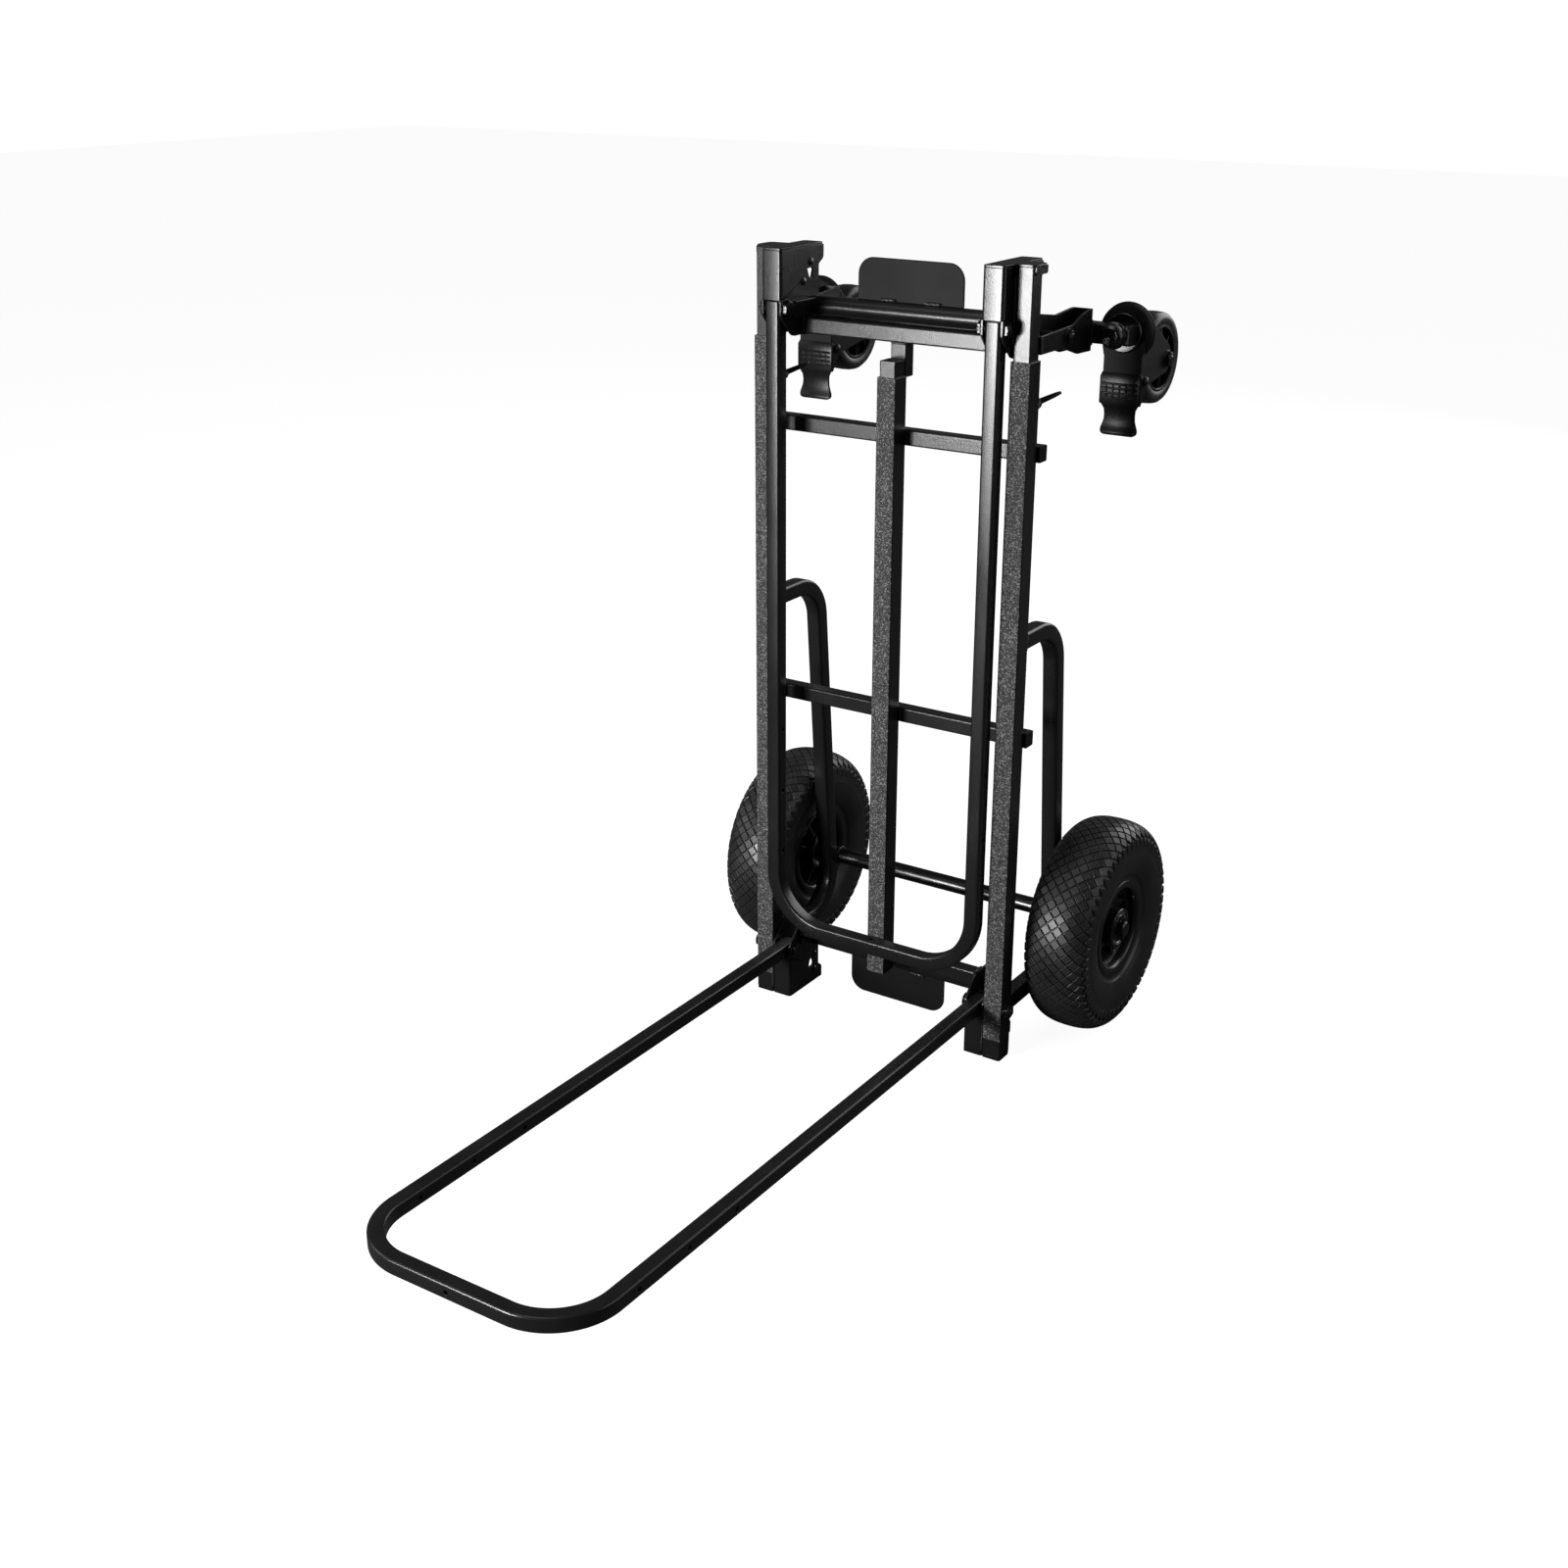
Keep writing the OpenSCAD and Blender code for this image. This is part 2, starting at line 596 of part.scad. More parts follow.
// Sheet arm from the back of a sliding rail to the caster beam, with flared ends
module caster_arm(side) placed() on_side(side) {
    y0 = slide_y + slide_d;
    low = beam_z - 7;
    top = beam_z + 35;
    ear_low = beam_z - 19;
    ear_top = beam_z + 27;
    plate_at(arm_x0, plate_t)
        polygon([[y0, low], [76, low], [113, ear_low + 1], [beam_y, ear_low], [beam_y, ear_top],
            [beam_y - 8, ear_top], [beam_y - 45, beam_z + 24], [y0, top]]);
    plate_at(frame_w / 2 - plate_t, plate_t)
        polygon([[y0, low], [76, low], [113, ear_low + 1], [beam_y, ear_low], [beam_y, ear_top],
            [beam_y - 8, ear_top], [beam_y - 26, ear_top - 4], [beam_y - 48, beam_z + 15],
            [y0, beam_z + 12]]);
    translate([arm_x0, y0, low]) cube([frame_w / 2 - arm_x0, 76 - y0, plate_t]);
    translate([arm_x0, beam_y - plate_t, ear_low]) cube([frame_w / 2 - arm_x0, plate_t, ear_top - ear_low]);
}

module left_caster_arm() color(black_paint) difference() {
    caster_arm(-1);
    placed() on_side(-1) arm_bolt_hole();
}

module right_caster_arm() color(black_paint) difference() {
    caster_arm(1);
    placed() arm_bolt_hole();
}

module arm_bolt_hole() rod_x(arm_x0 - 1, frame_w / 2 + 1, arm_bolt_y(), arm_bolt_z(), 4.2);
function arm_bolt_y() = beam_y - 58;
function arm_bolt_z() = beam_z + 4;

module arm_bolts() color(zinc) placed() both_sides() {
    rod_x(arm_x0 - 7, frame_w / 2 + 1, arm_bolt_y(), arm_bolt_z(), 4);
    hex_x(frame_w / 2, frame_w / 2 + 5, arm_bolt_y(), arm_bolt_z(), 13);
    hex_x(arm_x0 - 6, arm_x0, arm_bolt_y(), arm_bolt_z(), 13);
}

module caster_beam() color(black_paint) placed() difference() {
    crossbar(-beam_half(), beam_half(), beam_y + beam_s / 2, beam_z, beam_s, tube_wall);
    both_sides() rod_y(kingpin_x, beam_y - 1, beam_y + beam_s + 1, beam_z, kingpin_r + 0.2);
}

function beam_half() = kingpin_x + 15;

module beam_caps() color(dark_plastic) placed() both_sides()
    translate([beam_half(), beam_y + beam_s / 2, beam_z]) {
        rotate([90, 0, 90]) linear_extrude(3) round_box(beam_s, beam_s, 2);
        translate([-4, 0, 0]) rotate([90, 0, 90]) linear_extrude(4)
            round_box(beam_s - 2 * tube_wall, beam_s - 2 * tube_wall, 0.6);
    }

// Bolt, nut, washer and upper race that hold each caster on the beam
module kingpins() color(zinc) placed() both_sides() {
    rod_y(kingpin_x, beam_y - 11, cup_y + 6, beam_z, kingpin_r);
    hex_y(kingpin_x, beam_y - 12, beam_y - 2, beam_z, 19);
    rod_y(kingpin_x, beam_y - 2, beam_y, beam_z, 13);
    rod_y(kingpin_x, beam_y + beam_s, cup_y - 0.3, beam_z, 22);
    rod_y(kingpin_x, cup_y + 5, cup_y + 11, beam_z, 10);
}

module handle_pivot_bolts() color(zinc) placed() both_sides() {
    rod_x(in_plate_x - 1, out_plate_x + plate_t + 6, head_pivot_y, head_pivot_z, pivot_r);
    hex_x(in_plate_x - 6, in_plate_x, head_pivot_y, head_pivot_z, 3.2 * pivot_r);
    hex_x(out_plate_x + plate_t, out_plate_x + plate_t + 5, head_pivot_y, head_pivot_z, 3.2 * pivot_r);
}

// ---- latches ----

// Tube, two claws and their studs, with the bar's axis at the origin. reach is the distance
// from the axis to a stud, and lift is how far the stud stands above the axis.
module latch_bar(reach, lift) {
    difference() {
        rod_x(-claw_x, claw_x, 0, 0, latch_bar_r);
        rod_x(-claw_x - 1, claw_x + 1, 0, 0, latch_bar_r - 2);
    }
    both_sides() difference() {
        union() {
            plate_at(claw_x, claw_t) stadium([-reach, lift], [0, 0], claw_r);
            plate_at(claw_x, claw_t) circle(latch_bar_r);
            rod_x(claw_x, leg_x + 3, -reach, lift, stud_r);
        }
        rod_x(claw_x - 1, claw_x + claw_t + 1, 0, 0, latch_bolt_r + run_gap);
    }
}

// Rounded plate that stands on the bar and is pressed to turn it
module latch_pedal() difference() {
    foot = latch_bar_r - 3;
    head = latch_bar_r + pedal_h - 3;
    round_r = 18;
    rotate([90, 0, 0]) translate([0, 0, -1.5]) linear_extrude(3) {
        translate([-pedal_w / 2, foot]) square([pedal_w, head - round_r - foot]);
        translate([-pedal_w / 2 + round_r, foot]) square([pedal_w - 2 * round_r, head - foot]);
        for (x = [-1, 1]) translate([x * (pedal_w / 2 - round_r), head - round_r]) circle(round_r);
    }
    rod_x(-pedal_w, pedal_w, 0, 0, latch_bar_r + seat_gap);
}

module upper_latch_place() translate([0, head_latch_y, head_latch_z]) children();
module lower_latch_place() translate([0, foot_latch_y, foot_latch_z]) mirror([0, 0, 1]) children();

module upper_latch_bar() color(black_paint) placed() upper_latch_place()
    latch_bar(head_latch_y - head_stud_y, 0);
module lower_latch_bar() color(black_paint) placed() lower_latch_place()
    latch_bar(foot_latch_y - foot_stud_y, 0);
module upper_latch_pedal() color(black_paint) placed() upper_latch_place() latch_pedal();
module lower_latch_pedal() color(black_paint) placed() lower_latch_place() latch_pedal();

// Shoulder bolts that the latch bar turns on
module latch_bolts() both_sides() {
    rod_x(claw_x - 10, in_plate_x + plate_t, 0, 0, latch_bolt_r);
    hex_x(in_plate_x + plate_t, in_plate_x + plate_t + 5, 0, 0, 13);
}

module upper_latch_bolts() color(zinc) placed() upper_latch_place() latch_bolts();
module lower_latch_bolts() color(zinc) placed() lower_latch_place() latch_bolts();

// Torsion spring inside the bar's left end, round the shoulder bolt
spring_r = 6.4;
wire_r = 0.7;
spring_turns = 4;
spring_pitch = 1.8;
spring_steps = 14;
wire_sides = 8;
function coil_point(a, s) = let (turn = 360 * a / spring_steps, side = 360 * s / wire_sides,
    r = spring_r + wire_r * cos(side)) [spring_pitch * a / spring_steps + wire_r * sin(side),
    r * cos(turn), r * sin(turn)];

module torsion_spring() {
    last = spring_turns * spring_steps;
    points = [for (a = [0 : last], s = [0 : wire_sides - 1]) coil_point(a, s)];
    walls = [for (a = [0 : last - 1], s = [0 : wire_sides - 1])
        let (i = a * wire_sides + s, j = a * wire_sides + (s + 1) % wire_sides)
        [i, j, j + wire_sides, i + wire_sides]];
    ends = [[for (s = [wire_sides - 1 : -1 : 0]) s],
        [for (s = [0 : wire_sides - 1]) last * wire_sides + s]];
    translate([-claw_x + 1.5, 0, 0]) polyhedron(points, concat(walls, ends), convexity = 8);
}

module upper_latch_spring() color(zinc) placed() upper_latch_place() torsion_spring();
module lower_latch_spring() color(zinc) placed() lower_latch_place() torsion_spring();

// ---- casters ----

module caster_place(side) placed() on_side(side) translate([kingpin_x, 0, 0]) children();

// Swivel cup, two cheeks and the front skirt, drawn about the kingpin's own X
module caster_fork(side) caster_place(side) difference() {
    union() {
        rod_y(0, cup_y, cup_y + cup_t, beam_z, cup_r);
        for (x = [-fork_in - fork_t, fork_in]) plate_at(x, fork_t) cheek();
        translate([-fork_in - fork_t, cup_y, brake_z + 6])
            cube([2 * (fork_in + fork_t), 3, beam_z - brake_z - 6]);
    }
    rod_y(0, cup_y - 1, cup_y + 6, beam_z, kingpin_r + run_gap);
    rod_y(0, cup_y + 4, cup_y + cup_t + 1, beam_z, cup_r - 3.5 - 6);
    translate([-fork_in, cup_y + 4, brake_z - 20]) cube([2 * fork_in, 2 * caster_d, 2 * trail]);
    rod_x(-fork_in - 5, fork_in + 5, caster_y, caster_z, caster_axle_r + seat_gap);
    rod_x(-fork_in - 5, fork_in + 5, brake_y, brake_z, brake_r);
}

// Outline of a fork cheek, from the cup to the wheel's axle and down to the brake's pin
module cheek() {
    polygon([[cup_y, beam_z + 22], [cup_y + cup_t, beam_z + 22], [caster_y + 8, caster_z + 9],
        [caster_y - 4, caster_z - 12], [brake_y + 4, brake_z - 7], [cup_y, brake_z - 7]]);
    translate([caster_y, caster_z]) circle(13);
    translate([brake_y, brake_z]) circle(8);
}

module left_caster_fork() color(black_paint) caster_fork(-1);
module right_caster_fork() color(black_paint) caster_fork(1);

// Wheel with a slightly crowned tread, a recessed web and a plain bore
module caster_wheel(side) caster_place(side) translate([0, caster_y, caster_z]) rotate([0, 90, 0])
    rotate_extrude() difference() {
        union() {
            translate([caster_axle_r + run_gap, -caster_w / 2 - 2])
                square([9, caster_w + 4]);
            translate([caster_axle_r + run_gap, -caster_w / 2 + 5])
                square([caster_d / 2 - 14, caster_w - 10]);
            translate([caster_d / 2 - 16, -caster_w / 2]) square([10, caster_w]);
            intersection() {
                translate([caster_d / 2 - 22, 0]) circle(22);
                translate([caster_d / 2 - 16, -caster_w / 2]) square([16, caster_w]);
            }
        }
    }

module left_caster_wheel() color(rubber_black) caster_wheel(-1);
module right_caster_wheel() color(rubber_black) caster_wheel(1);

module caster_axle(side) caster_place(side) {
    half = fork_in + fork_t;
    rod_x(-half - 1, half + 6, caster_y, caster_z, caster_axle_r);
    hex_x(-half - 6, -half, caster_y, caster_z, 16);
    hex_x(half, half + 5, caster_y, caster_z, 16);
}

module left_caster_axle() color(zinc) caster_axle(-1);
module right_caster_axle() color(zinc) caster_axle(1);

// Brake lever with its own pin: a barrel in the fork, a ribbed tread and a flared end
module brake_pedal(side) caster_place(side) {
    pad_half = fork_in - 0.5;
    tread_low = brake_z - 62;
    rod_x(-brake_pin_half, brake_pin_half, brake_y, brake_z, brake_r - run_gap);
    rod_x(-pad_half, pad_half, brake_y, brake_z, 5.5);
    translate([-pad_half, brake_y - 7, brake_z - 30]) cube([2 * pad_half, 5, 30]);
    translate([0, brake_y - 2, 0]) rotate([90, 0, 0]) linear_extrude(5) {
        translate([-pad_half, tread_low + 8]) square([2 * pad_half, brake_z - 28 - tread_low - 8]);
        translate([-pad_half + 8, tread_low]) square([2 * pad_half - 16, 12]);
        for (x = [-1, 1]) translate([x * (pad_half - 8), tread_low + 8]) circle(8);
    }
    for (i = [0 : 3]) rod_x(-pad_half + 3, pad_half - 3, brake_y - 7, brake_z - 14 - 5 * i, 1.2);
}

module left_brake_pedal() color(dark_plastic) brake_pedal(-1);
module right_brake_pedal() color(dark_plastic) brake_pedal(1);

left_rail();
right_rail();
centre_tube();
grip_strips();
back_crossbars();
bottom_crossbar();
left_foot_bracket();
right_foot_bracket();
left_axle_hoop();
right_axle_hoop();
axle();
axle_retainers();
frame_plugs();
nose_pivot_bolts();
clamp_nuts();
lower_latch_bolts();
lower_latch_spring();
left_clamp_bolt();
right_clamp_bolt();
left_tyre();
right_tyre();
left_rim();
right_rim();
left_bearings();
right_bearings();
left_slide_rail();
right_slide_rail();
slide_centre_tube();
top_crossbar();
centre_link();
left_head_bracket();
right_head_bracket();
left_caster_arm();
right_caster_arm();
caster_beam();
beam_caps();
slide_plugs();
handle_pivot_bolts();
arm_bolts();
kingpins();
upper_latch_bolts();
upper_latch_spring();
top_handle();
top_handle_bushes();
nose_handle();
nose_bushes();
upper_latch_bar();
upper_latch_pedal();
lower_latch_bar();
lower_latch_pedal();
left_caster_fork();
right_caster_fork();
left_caster_wheel();
right_caster_wheel();
left_caster_axle();
right_caster_axle();
left_brake_pedal();
right_brake_pedal();
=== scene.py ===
"""Looks for a folding hand truck with a long U nose, a telescopic frame and rear casters."""

import json
import math
import random

import bmesh
import bpy
from mathutils import Matrix, Vector


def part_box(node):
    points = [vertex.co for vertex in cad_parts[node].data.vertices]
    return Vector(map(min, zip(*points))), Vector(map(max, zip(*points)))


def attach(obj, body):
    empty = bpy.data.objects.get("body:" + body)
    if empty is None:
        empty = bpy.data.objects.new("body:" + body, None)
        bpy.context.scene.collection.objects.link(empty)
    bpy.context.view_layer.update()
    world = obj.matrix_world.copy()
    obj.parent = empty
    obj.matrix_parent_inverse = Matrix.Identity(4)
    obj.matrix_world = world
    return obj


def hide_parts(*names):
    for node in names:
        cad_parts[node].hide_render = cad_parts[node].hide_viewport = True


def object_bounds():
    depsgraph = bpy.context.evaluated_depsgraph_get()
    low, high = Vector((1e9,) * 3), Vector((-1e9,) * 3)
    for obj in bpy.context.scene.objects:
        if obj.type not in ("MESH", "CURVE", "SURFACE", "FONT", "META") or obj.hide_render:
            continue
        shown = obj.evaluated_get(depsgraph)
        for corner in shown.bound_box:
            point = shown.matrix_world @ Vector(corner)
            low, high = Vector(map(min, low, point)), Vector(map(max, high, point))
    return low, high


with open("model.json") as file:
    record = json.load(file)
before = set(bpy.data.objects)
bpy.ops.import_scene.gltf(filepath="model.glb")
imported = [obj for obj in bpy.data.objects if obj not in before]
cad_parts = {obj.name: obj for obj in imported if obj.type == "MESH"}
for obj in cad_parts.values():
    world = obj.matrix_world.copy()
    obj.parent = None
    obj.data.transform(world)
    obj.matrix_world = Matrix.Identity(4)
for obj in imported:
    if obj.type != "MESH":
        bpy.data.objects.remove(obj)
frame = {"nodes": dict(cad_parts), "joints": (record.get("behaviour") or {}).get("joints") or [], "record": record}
CAD_BOX = [list(corner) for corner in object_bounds()]

MM = 0.001
AXIS_X, AXIS_Y, AXIS_Z = Vector((1, 0, 0)), Vector((0, 1, 0)), Vector((0, 0, 1))
SIDES = (("left", -1), ("right", 1))
RAIL_LOW, RAIL_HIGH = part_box("right_rail")
FRONT = RAIL_LOW.y
random.seed(7)


def at(x, y, z):
    """A point in millimetres: x from the mid-plane, y back from the rails' front, z up."""
    return Vector((x * MM, FRONT + y * MM, z * MM))


def box_mm(node):
    """A CAD node's box in the same millimetres: x0, x1, y0, y1, z0, z1."""
    low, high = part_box(node)
    return (low.x / MM, high.x / MM, (low.y - FRONT) / MM, (high.y - FRONT) / MM,
            low.z / MM, high.z / MM)


# ---------------------------------------------------------------- mesh helpers

class Form:
    """Points and faces that grow into one mesh."""

    def __init__(self):
        self.points, self.faces = [], []

    def add(self, points, faces):
        base = len(self.points)
        self.points += [tuple(p) for p in points]
        self.faces += [tuple(i + base for i in f) for f in faces]

    def rings(self, rings, closed=False, capped=True):
        """Joins rings of equal length with quads. Open rows of rings get end faces."""
        count = len(rings[0])
        points = [p for ring in rings for p in ring]
        faces = []
        last = len(rings) if closed else len(rings) - 1
        for i in range(last):
            a, b = i * count, (i + 1) % len(rings) * count
            for j in range(count):
                k = (j + 1) % count
                faces.append((a + j, a + k, b + k, b + j))
        if capped and not closed:
            faces.append(tuple(reversed(range(count))))
            faces.append(tuple(range((len(rings) - 1) * count, len(rings) * count)))
        self.add(points, faces)


def cross_axes(axis):
    """Two directions square to an axis and to each other."""
    axis = axis.normalized()
    side = AXIS_Z if abs(axis.z) < 0.9 else AXIS_X
    u = side.cross(axis).normalized()
    return u, axis.cross(u)


def place_in_scene(name, data):
    """A new object in the scene that holds the data."""
    thing = bpy.data.objects.new(name, data)
    bpy.context.scene.collection.objects.link(thing)
    return thing


def form_object(name, form):
    """An object from a form, with its faces turned outwards."""
    mesh = bpy.data.meshes.new(name)
    mesh.from_pydata(form.points, [], form.faces)
    shaped = bmesh.new()
    shaped.from_mesh(mesh)
    bmesh.ops.recalc_face_normals(shaped, faces=shaped.faces)
    shaped.to_mesh(mesh)
    shaped.free()
    return place_in_scene(name, mesh)


def smooth(mesh, sharp):
    """Smooth shading with edges kept crisp above an angle in degrees."""
    mesh.polygons.foreach_set("use_smooth", [True] * len(mesh.polygons))
    mesh.set_sharp_from_angle(angle=math.radians(sharp))


def make(name, form, body, material, sharp=32, bevel=None, segments=2, nodes=()):
    """Turns a form into a finished piece that rides on a body, its edges rounded if asked."""
    piece = form_object(name, form)
    piece.data.materials.append(material)
    smooth(piece.data, sharp)
    if bevel:
        rounding = piece.modifiers.new("rounded_edges", "BEVEL")
        rounding.width = bevel * MM
        rounding.segments = segments
        rounding.limit_method = "ANGLE"
        rounding.angle_limit = math.radians(sharp)
        rounding.harden_normals = True
    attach(piece, body)
    if nodes:
        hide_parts(*nodes)
    return piece


def drill(piece, holes):
    """Cuts round holes, each (centre, axis, radius mm, length mm), out of a piece's mesh."""
    cutter_form = Form()
    for centre, axis, radius, length in holes:
        half = axis.normalized() * length * MM / 2
        lathe(cutter_form, [(radius, -length / 2), (radius, length / 2)], centre, half, 28)
    cutter = form_object("cutter", cutter_form)
    cut = piece.modifiers.new("holes", "BOOLEAN")
    cut.operation, cut.solver, cut.object = "DIFFERENCE", "EXACT", cutter
    bpy.context.view_layer.update()
    graph = bpy.context.evaluated_depsgraph_get()
    done = bpy.data.meshes.new_from_object(piece.evaluated_get(graph))
    piece.modifiers.remove(cut)
    old, piece.data = piece.data, done
    cutter_mesh = cutter.data
    bpy.data.objects.remove(cutter)
    bpy.data.meshes.remove(cutter_mesh)
    bpy.data.meshes.remove(old)
    smooth(piece.data, 32)


def lathe(form, outline, centre, axis, steps=48, capped=True):
    """Turns an outline of (radius, distance along the axis) in millimetres about an axis."""
    u, v = cross_axes(axis)
    along = axis.normalized()
    rings = []
    for radius, height in outline:
        ring = []
        for i in range(steps):
            a = 2 * math.pi * i / steps
            ring.append(centre + along * height * MM
                        + (u * math.cos(a) + v * math.sin(a)) * max(radius, 0.01) * MM)
        rings.append(ring)
    form.rings(rings, capped=capped)


def rounded_rect(width, depth, radius, steps=5):
    """Outline points of a rectangle with round corners, in millimetres."""
    points = []
    for cx, cy, start in ((1, 1, 0), (-1, 1, 90), (-1, -1, 180), (1, -1, 270)):
        for i in range(steps + 1):
            a = math.radians(start + 90 * i / steps)
            points.append((cx * (width / 2 - radius) + radius * math.cos(a),
                           cy * (depth / 2 - radius) + radius * math.sin(a)))
    return points


def sweep(form, stations, outline, capped=True):
    """Carries an outline along stations of (centre, side direction, up direction)."""
    form.rings([[c + (side * a + up * b) * MM for a, b in outline] for c, side, up in stations],
               capped=capped)


def bent_path(corners, radii, normal, bend_steps=20):
    """Stations along a flat path of straights joined by round bends."""
    stations = []
    count = len(corners)
    for i, corner in enumerate(corners):
        if i in (0, count - 1):
            other = corners[1] if i == 0 else corners[-2]
            way = (other - corner) if i == 0 else (corner - other)
            stations.append((corner, way.normalized()))
            continue
        back = (corners[i - 1] - corner).normalized()
        ahead = (corners[i + 1] - corner).normalized()
        half = back.angle(ahead) / 2
        reach = radii[i] / math.tan(half)
        start = corner + back * reach
        middle = corner + (back + ahead).normalized() * radii[i] / math.sin(half)
        turn = math.pi - 2 * half
        spin = normal if back.cross(ahead).dot(normal) < 0 else -normal
        for k in range(bend_steps + 1):
            rotation = Matrix.Rotation(turn * k / bend_steps, 3, spin)
            stations.append((middle + rotation @ (start - middle), rotation @ (-back)))
    return [(c, way.cross(normal), normal) for c, way in stations]


def slab(form, outline, place, thickness):
    """Extrudes a flat outline. place turns (a, b, height) in millimetres into a point."""
    form.rings([[place(a, b, 0) for a, b in outline], [place(a, b, thickness) for a, b in outline]])


def holed_slab(form, outline, centre, hole, place, thickness):
    """Plate with one round-ended hole. hole gives its reach from centre at an angle."""
    ring = []
    for a, b in outline:
        way = math.atan2(b - centre[1], a - centre[0])
        ring.append((centre[0] + hole(way) * math.cos(way), centre[1] + hole(way) * math.sin(way)))
    form.rings([[place(a, b, 0) for a, b in outline], [place(a, b, thickness) for a, b in outline],
                [place(a, b, thickness) for a, b in ring], [place(a, b, 0) for a, b in ring]],
               closed=True)


def weld(form, path, radius=1.6, pitch=1.7):
    """A rippled weld bead along a path of points."""
    lengths = [0]
    for a, b in zip(path, path[1:]):
        lengths.append(lengths[-1] + (b - a).length)
    total = lengths[-1]
    count = max(6, int(total / (0.45 * MM)))
    rings = []
    for i in range(count + 1):
        s = total * i / count
        k = max(j for j in range(len(path) - 1) if lengths[j] <= s + 1e-9)
        part = (s - lengths[k]) / max(lengths[k + 1] - lengths[k], 1e-9)
        centre = path[k].lerp(path[k + 1], part)
        u, v = cross_axes(path[k + 1] - path[k])
        ripple = 0.8 + 0.2 * abs(math.sin(math.pi * s / (pitch * MM)))
        edge = min(1.0, (min(s, total - s) / MM + 0.15) / 1.6) ** 0.5
        size = radius * ripple * edge * (0.92 + 0.16 * random.random()) * MM
        centre = centre + (u * random.uniform(-0.2, 0.2) + v * random.uniform(-0.2, 0.2)) * MM
        rings.append([centre + (u * math.cos(t) + v * math.sin(t)) * size
                      for t in (2 * math.pi * j / 8 for j in range(8))])
    form.rings(rings)


def hexagon(form, centre, axis, flats, height, chamfer=0.8):
    """Hex head with a chamfered top, standing on centre along axis."""
    u, v = cross_axes(axis)
    along = axis.normalized()
    steps = 36
    rings = []
    for h, trim in ((0, 0), (height - chamfer, 0), (height, chamfer * 1.2), (height, flats * 0.28)):
        ring = []
        for i in range(steps):
            a = 2 * math.pi * i / steps
            local = (a + math.pi / 6) % (math.pi / 3) - math.pi / 6
            reach = flats / 2 / math.cos(local)
            if trim:
                reach = min(reach, flats / 2 * 1.12 - trim)
            ring.append(centre + along * h * MM
                        + (u * math.cos(a) + v * math.sin(a)) * reach * MM)
        rings.append(ring)
    form.rings(rings)


def washer(form, centre, axis, radius, thickness):
    """Flat washer with its rim's edges broken."""
    edge = 0.25
    lathe(form, [(0, 0), (radius - edge, 0), (radius, edge), (radius, thickness - edge),
                 (radius - edge, thickness), (0, thickness)], centre, axis, 32)


def dome(form, centre, axis, radius, height):
    """Low round rivet head."""
    outline = [(radius * math.cos(t), height * math.sin(t))
               for t in (math.pi / 2 * i / 8 for i in range(9))]
    lathe(form, [(radius, -0.5)] + outline, centre, axis, 28)


# ---------------------------------------------------------------- shader helpers

def new_group(name, inputs, outputs):
    """An empty shader group with named sockets. Each socket is (name, kind, default)."""
    group = bpy.data.node_groups.new(name, "ShaderNodeTree")
    for label, kind, default in inputs:
        socket = group.interface.new_socket(label, in_out="INPUT", socket_type="NodeSocket" + kind)
        if default is not None:
            socket.default_value = default
    for label, kind in outputs:
        group.interface.new_socket(label, in_out="OUTPUT", socket_type="NodeSocket" + kind)
    return group, group.nodes.new("NodeGroupInput"), group.nodes.new("NodeGroupOutput")


def node(tree, kind, settings=None, **values):
    """Adds a shader node, sets its options, and links or sets its inputs by name."""
    made = tree.nodes.new("ShaderNode" + kind)
    for key, value in (settings or {}).items():
        setattr(made, key, value)
    for key, value in values.items():
        wire(tree, made, key, value)
    return made


def wire(tree, made, key, value):
    """Links an output to an input, or writes a constant into it."""
    socket = made.inputs[int(key[2:])] if key.startswith("in") and key[2:].isdigit() \
        else made.inputs[key.replace("_", " ")]
    if isinstance(value, bpy.types.NodeSocket):
        tree.links.new(value, socket)
    else:
        socket.default_value = value


def maths(tree, operation, a, b=None, clamp=False):
    made = tree.nodes.new("ShaderNodeMath")
    made.operation, made.use_clamp = operation, clamp
    wire(tree, made, "in0", a)
    if b is not None:
        wire(tree, made, "in1", b)
    return made.outputs[0]


def object_place(tree):
    """Where a point is on its object, for patterns that stay put as the object moves."""
    return node(tree, "TexCoord").outputs["Object"]


def ramp(tree, value, low, high, to_low=0.0, to_high=1.0):
    """Maps a value from low..high to to_low..to_high, with the ends held."""
    made = node(tree, "MapRange", {"clamp": True})
    for key, number in zip(range(1, 5), (low, high, to_low, to_high)):
        wire(tree, made, f"in{key}", number)
    wire(tree, made, "in0", value)
    return made.outputs[0]


def noise(tree, where, scale, detail=3.0, rough=0.5):
    made = node(tree, "TexNoise", Scale=scale, Detail=detail, Roughness=rough)
    wire(tree, made, "Vector", where)
    return made.outputs["Fac"]


def blend_colour(tree, factor, first, second):
    made = tree.nodes.new("ShaderNodeMix")
    made.data_type = "RGBA"
    wire(tree, made, "in0", factor)
    wire(tree, made, "in6", first)
    wire(tree, made, "in7", second)
    return made.outputs[2]


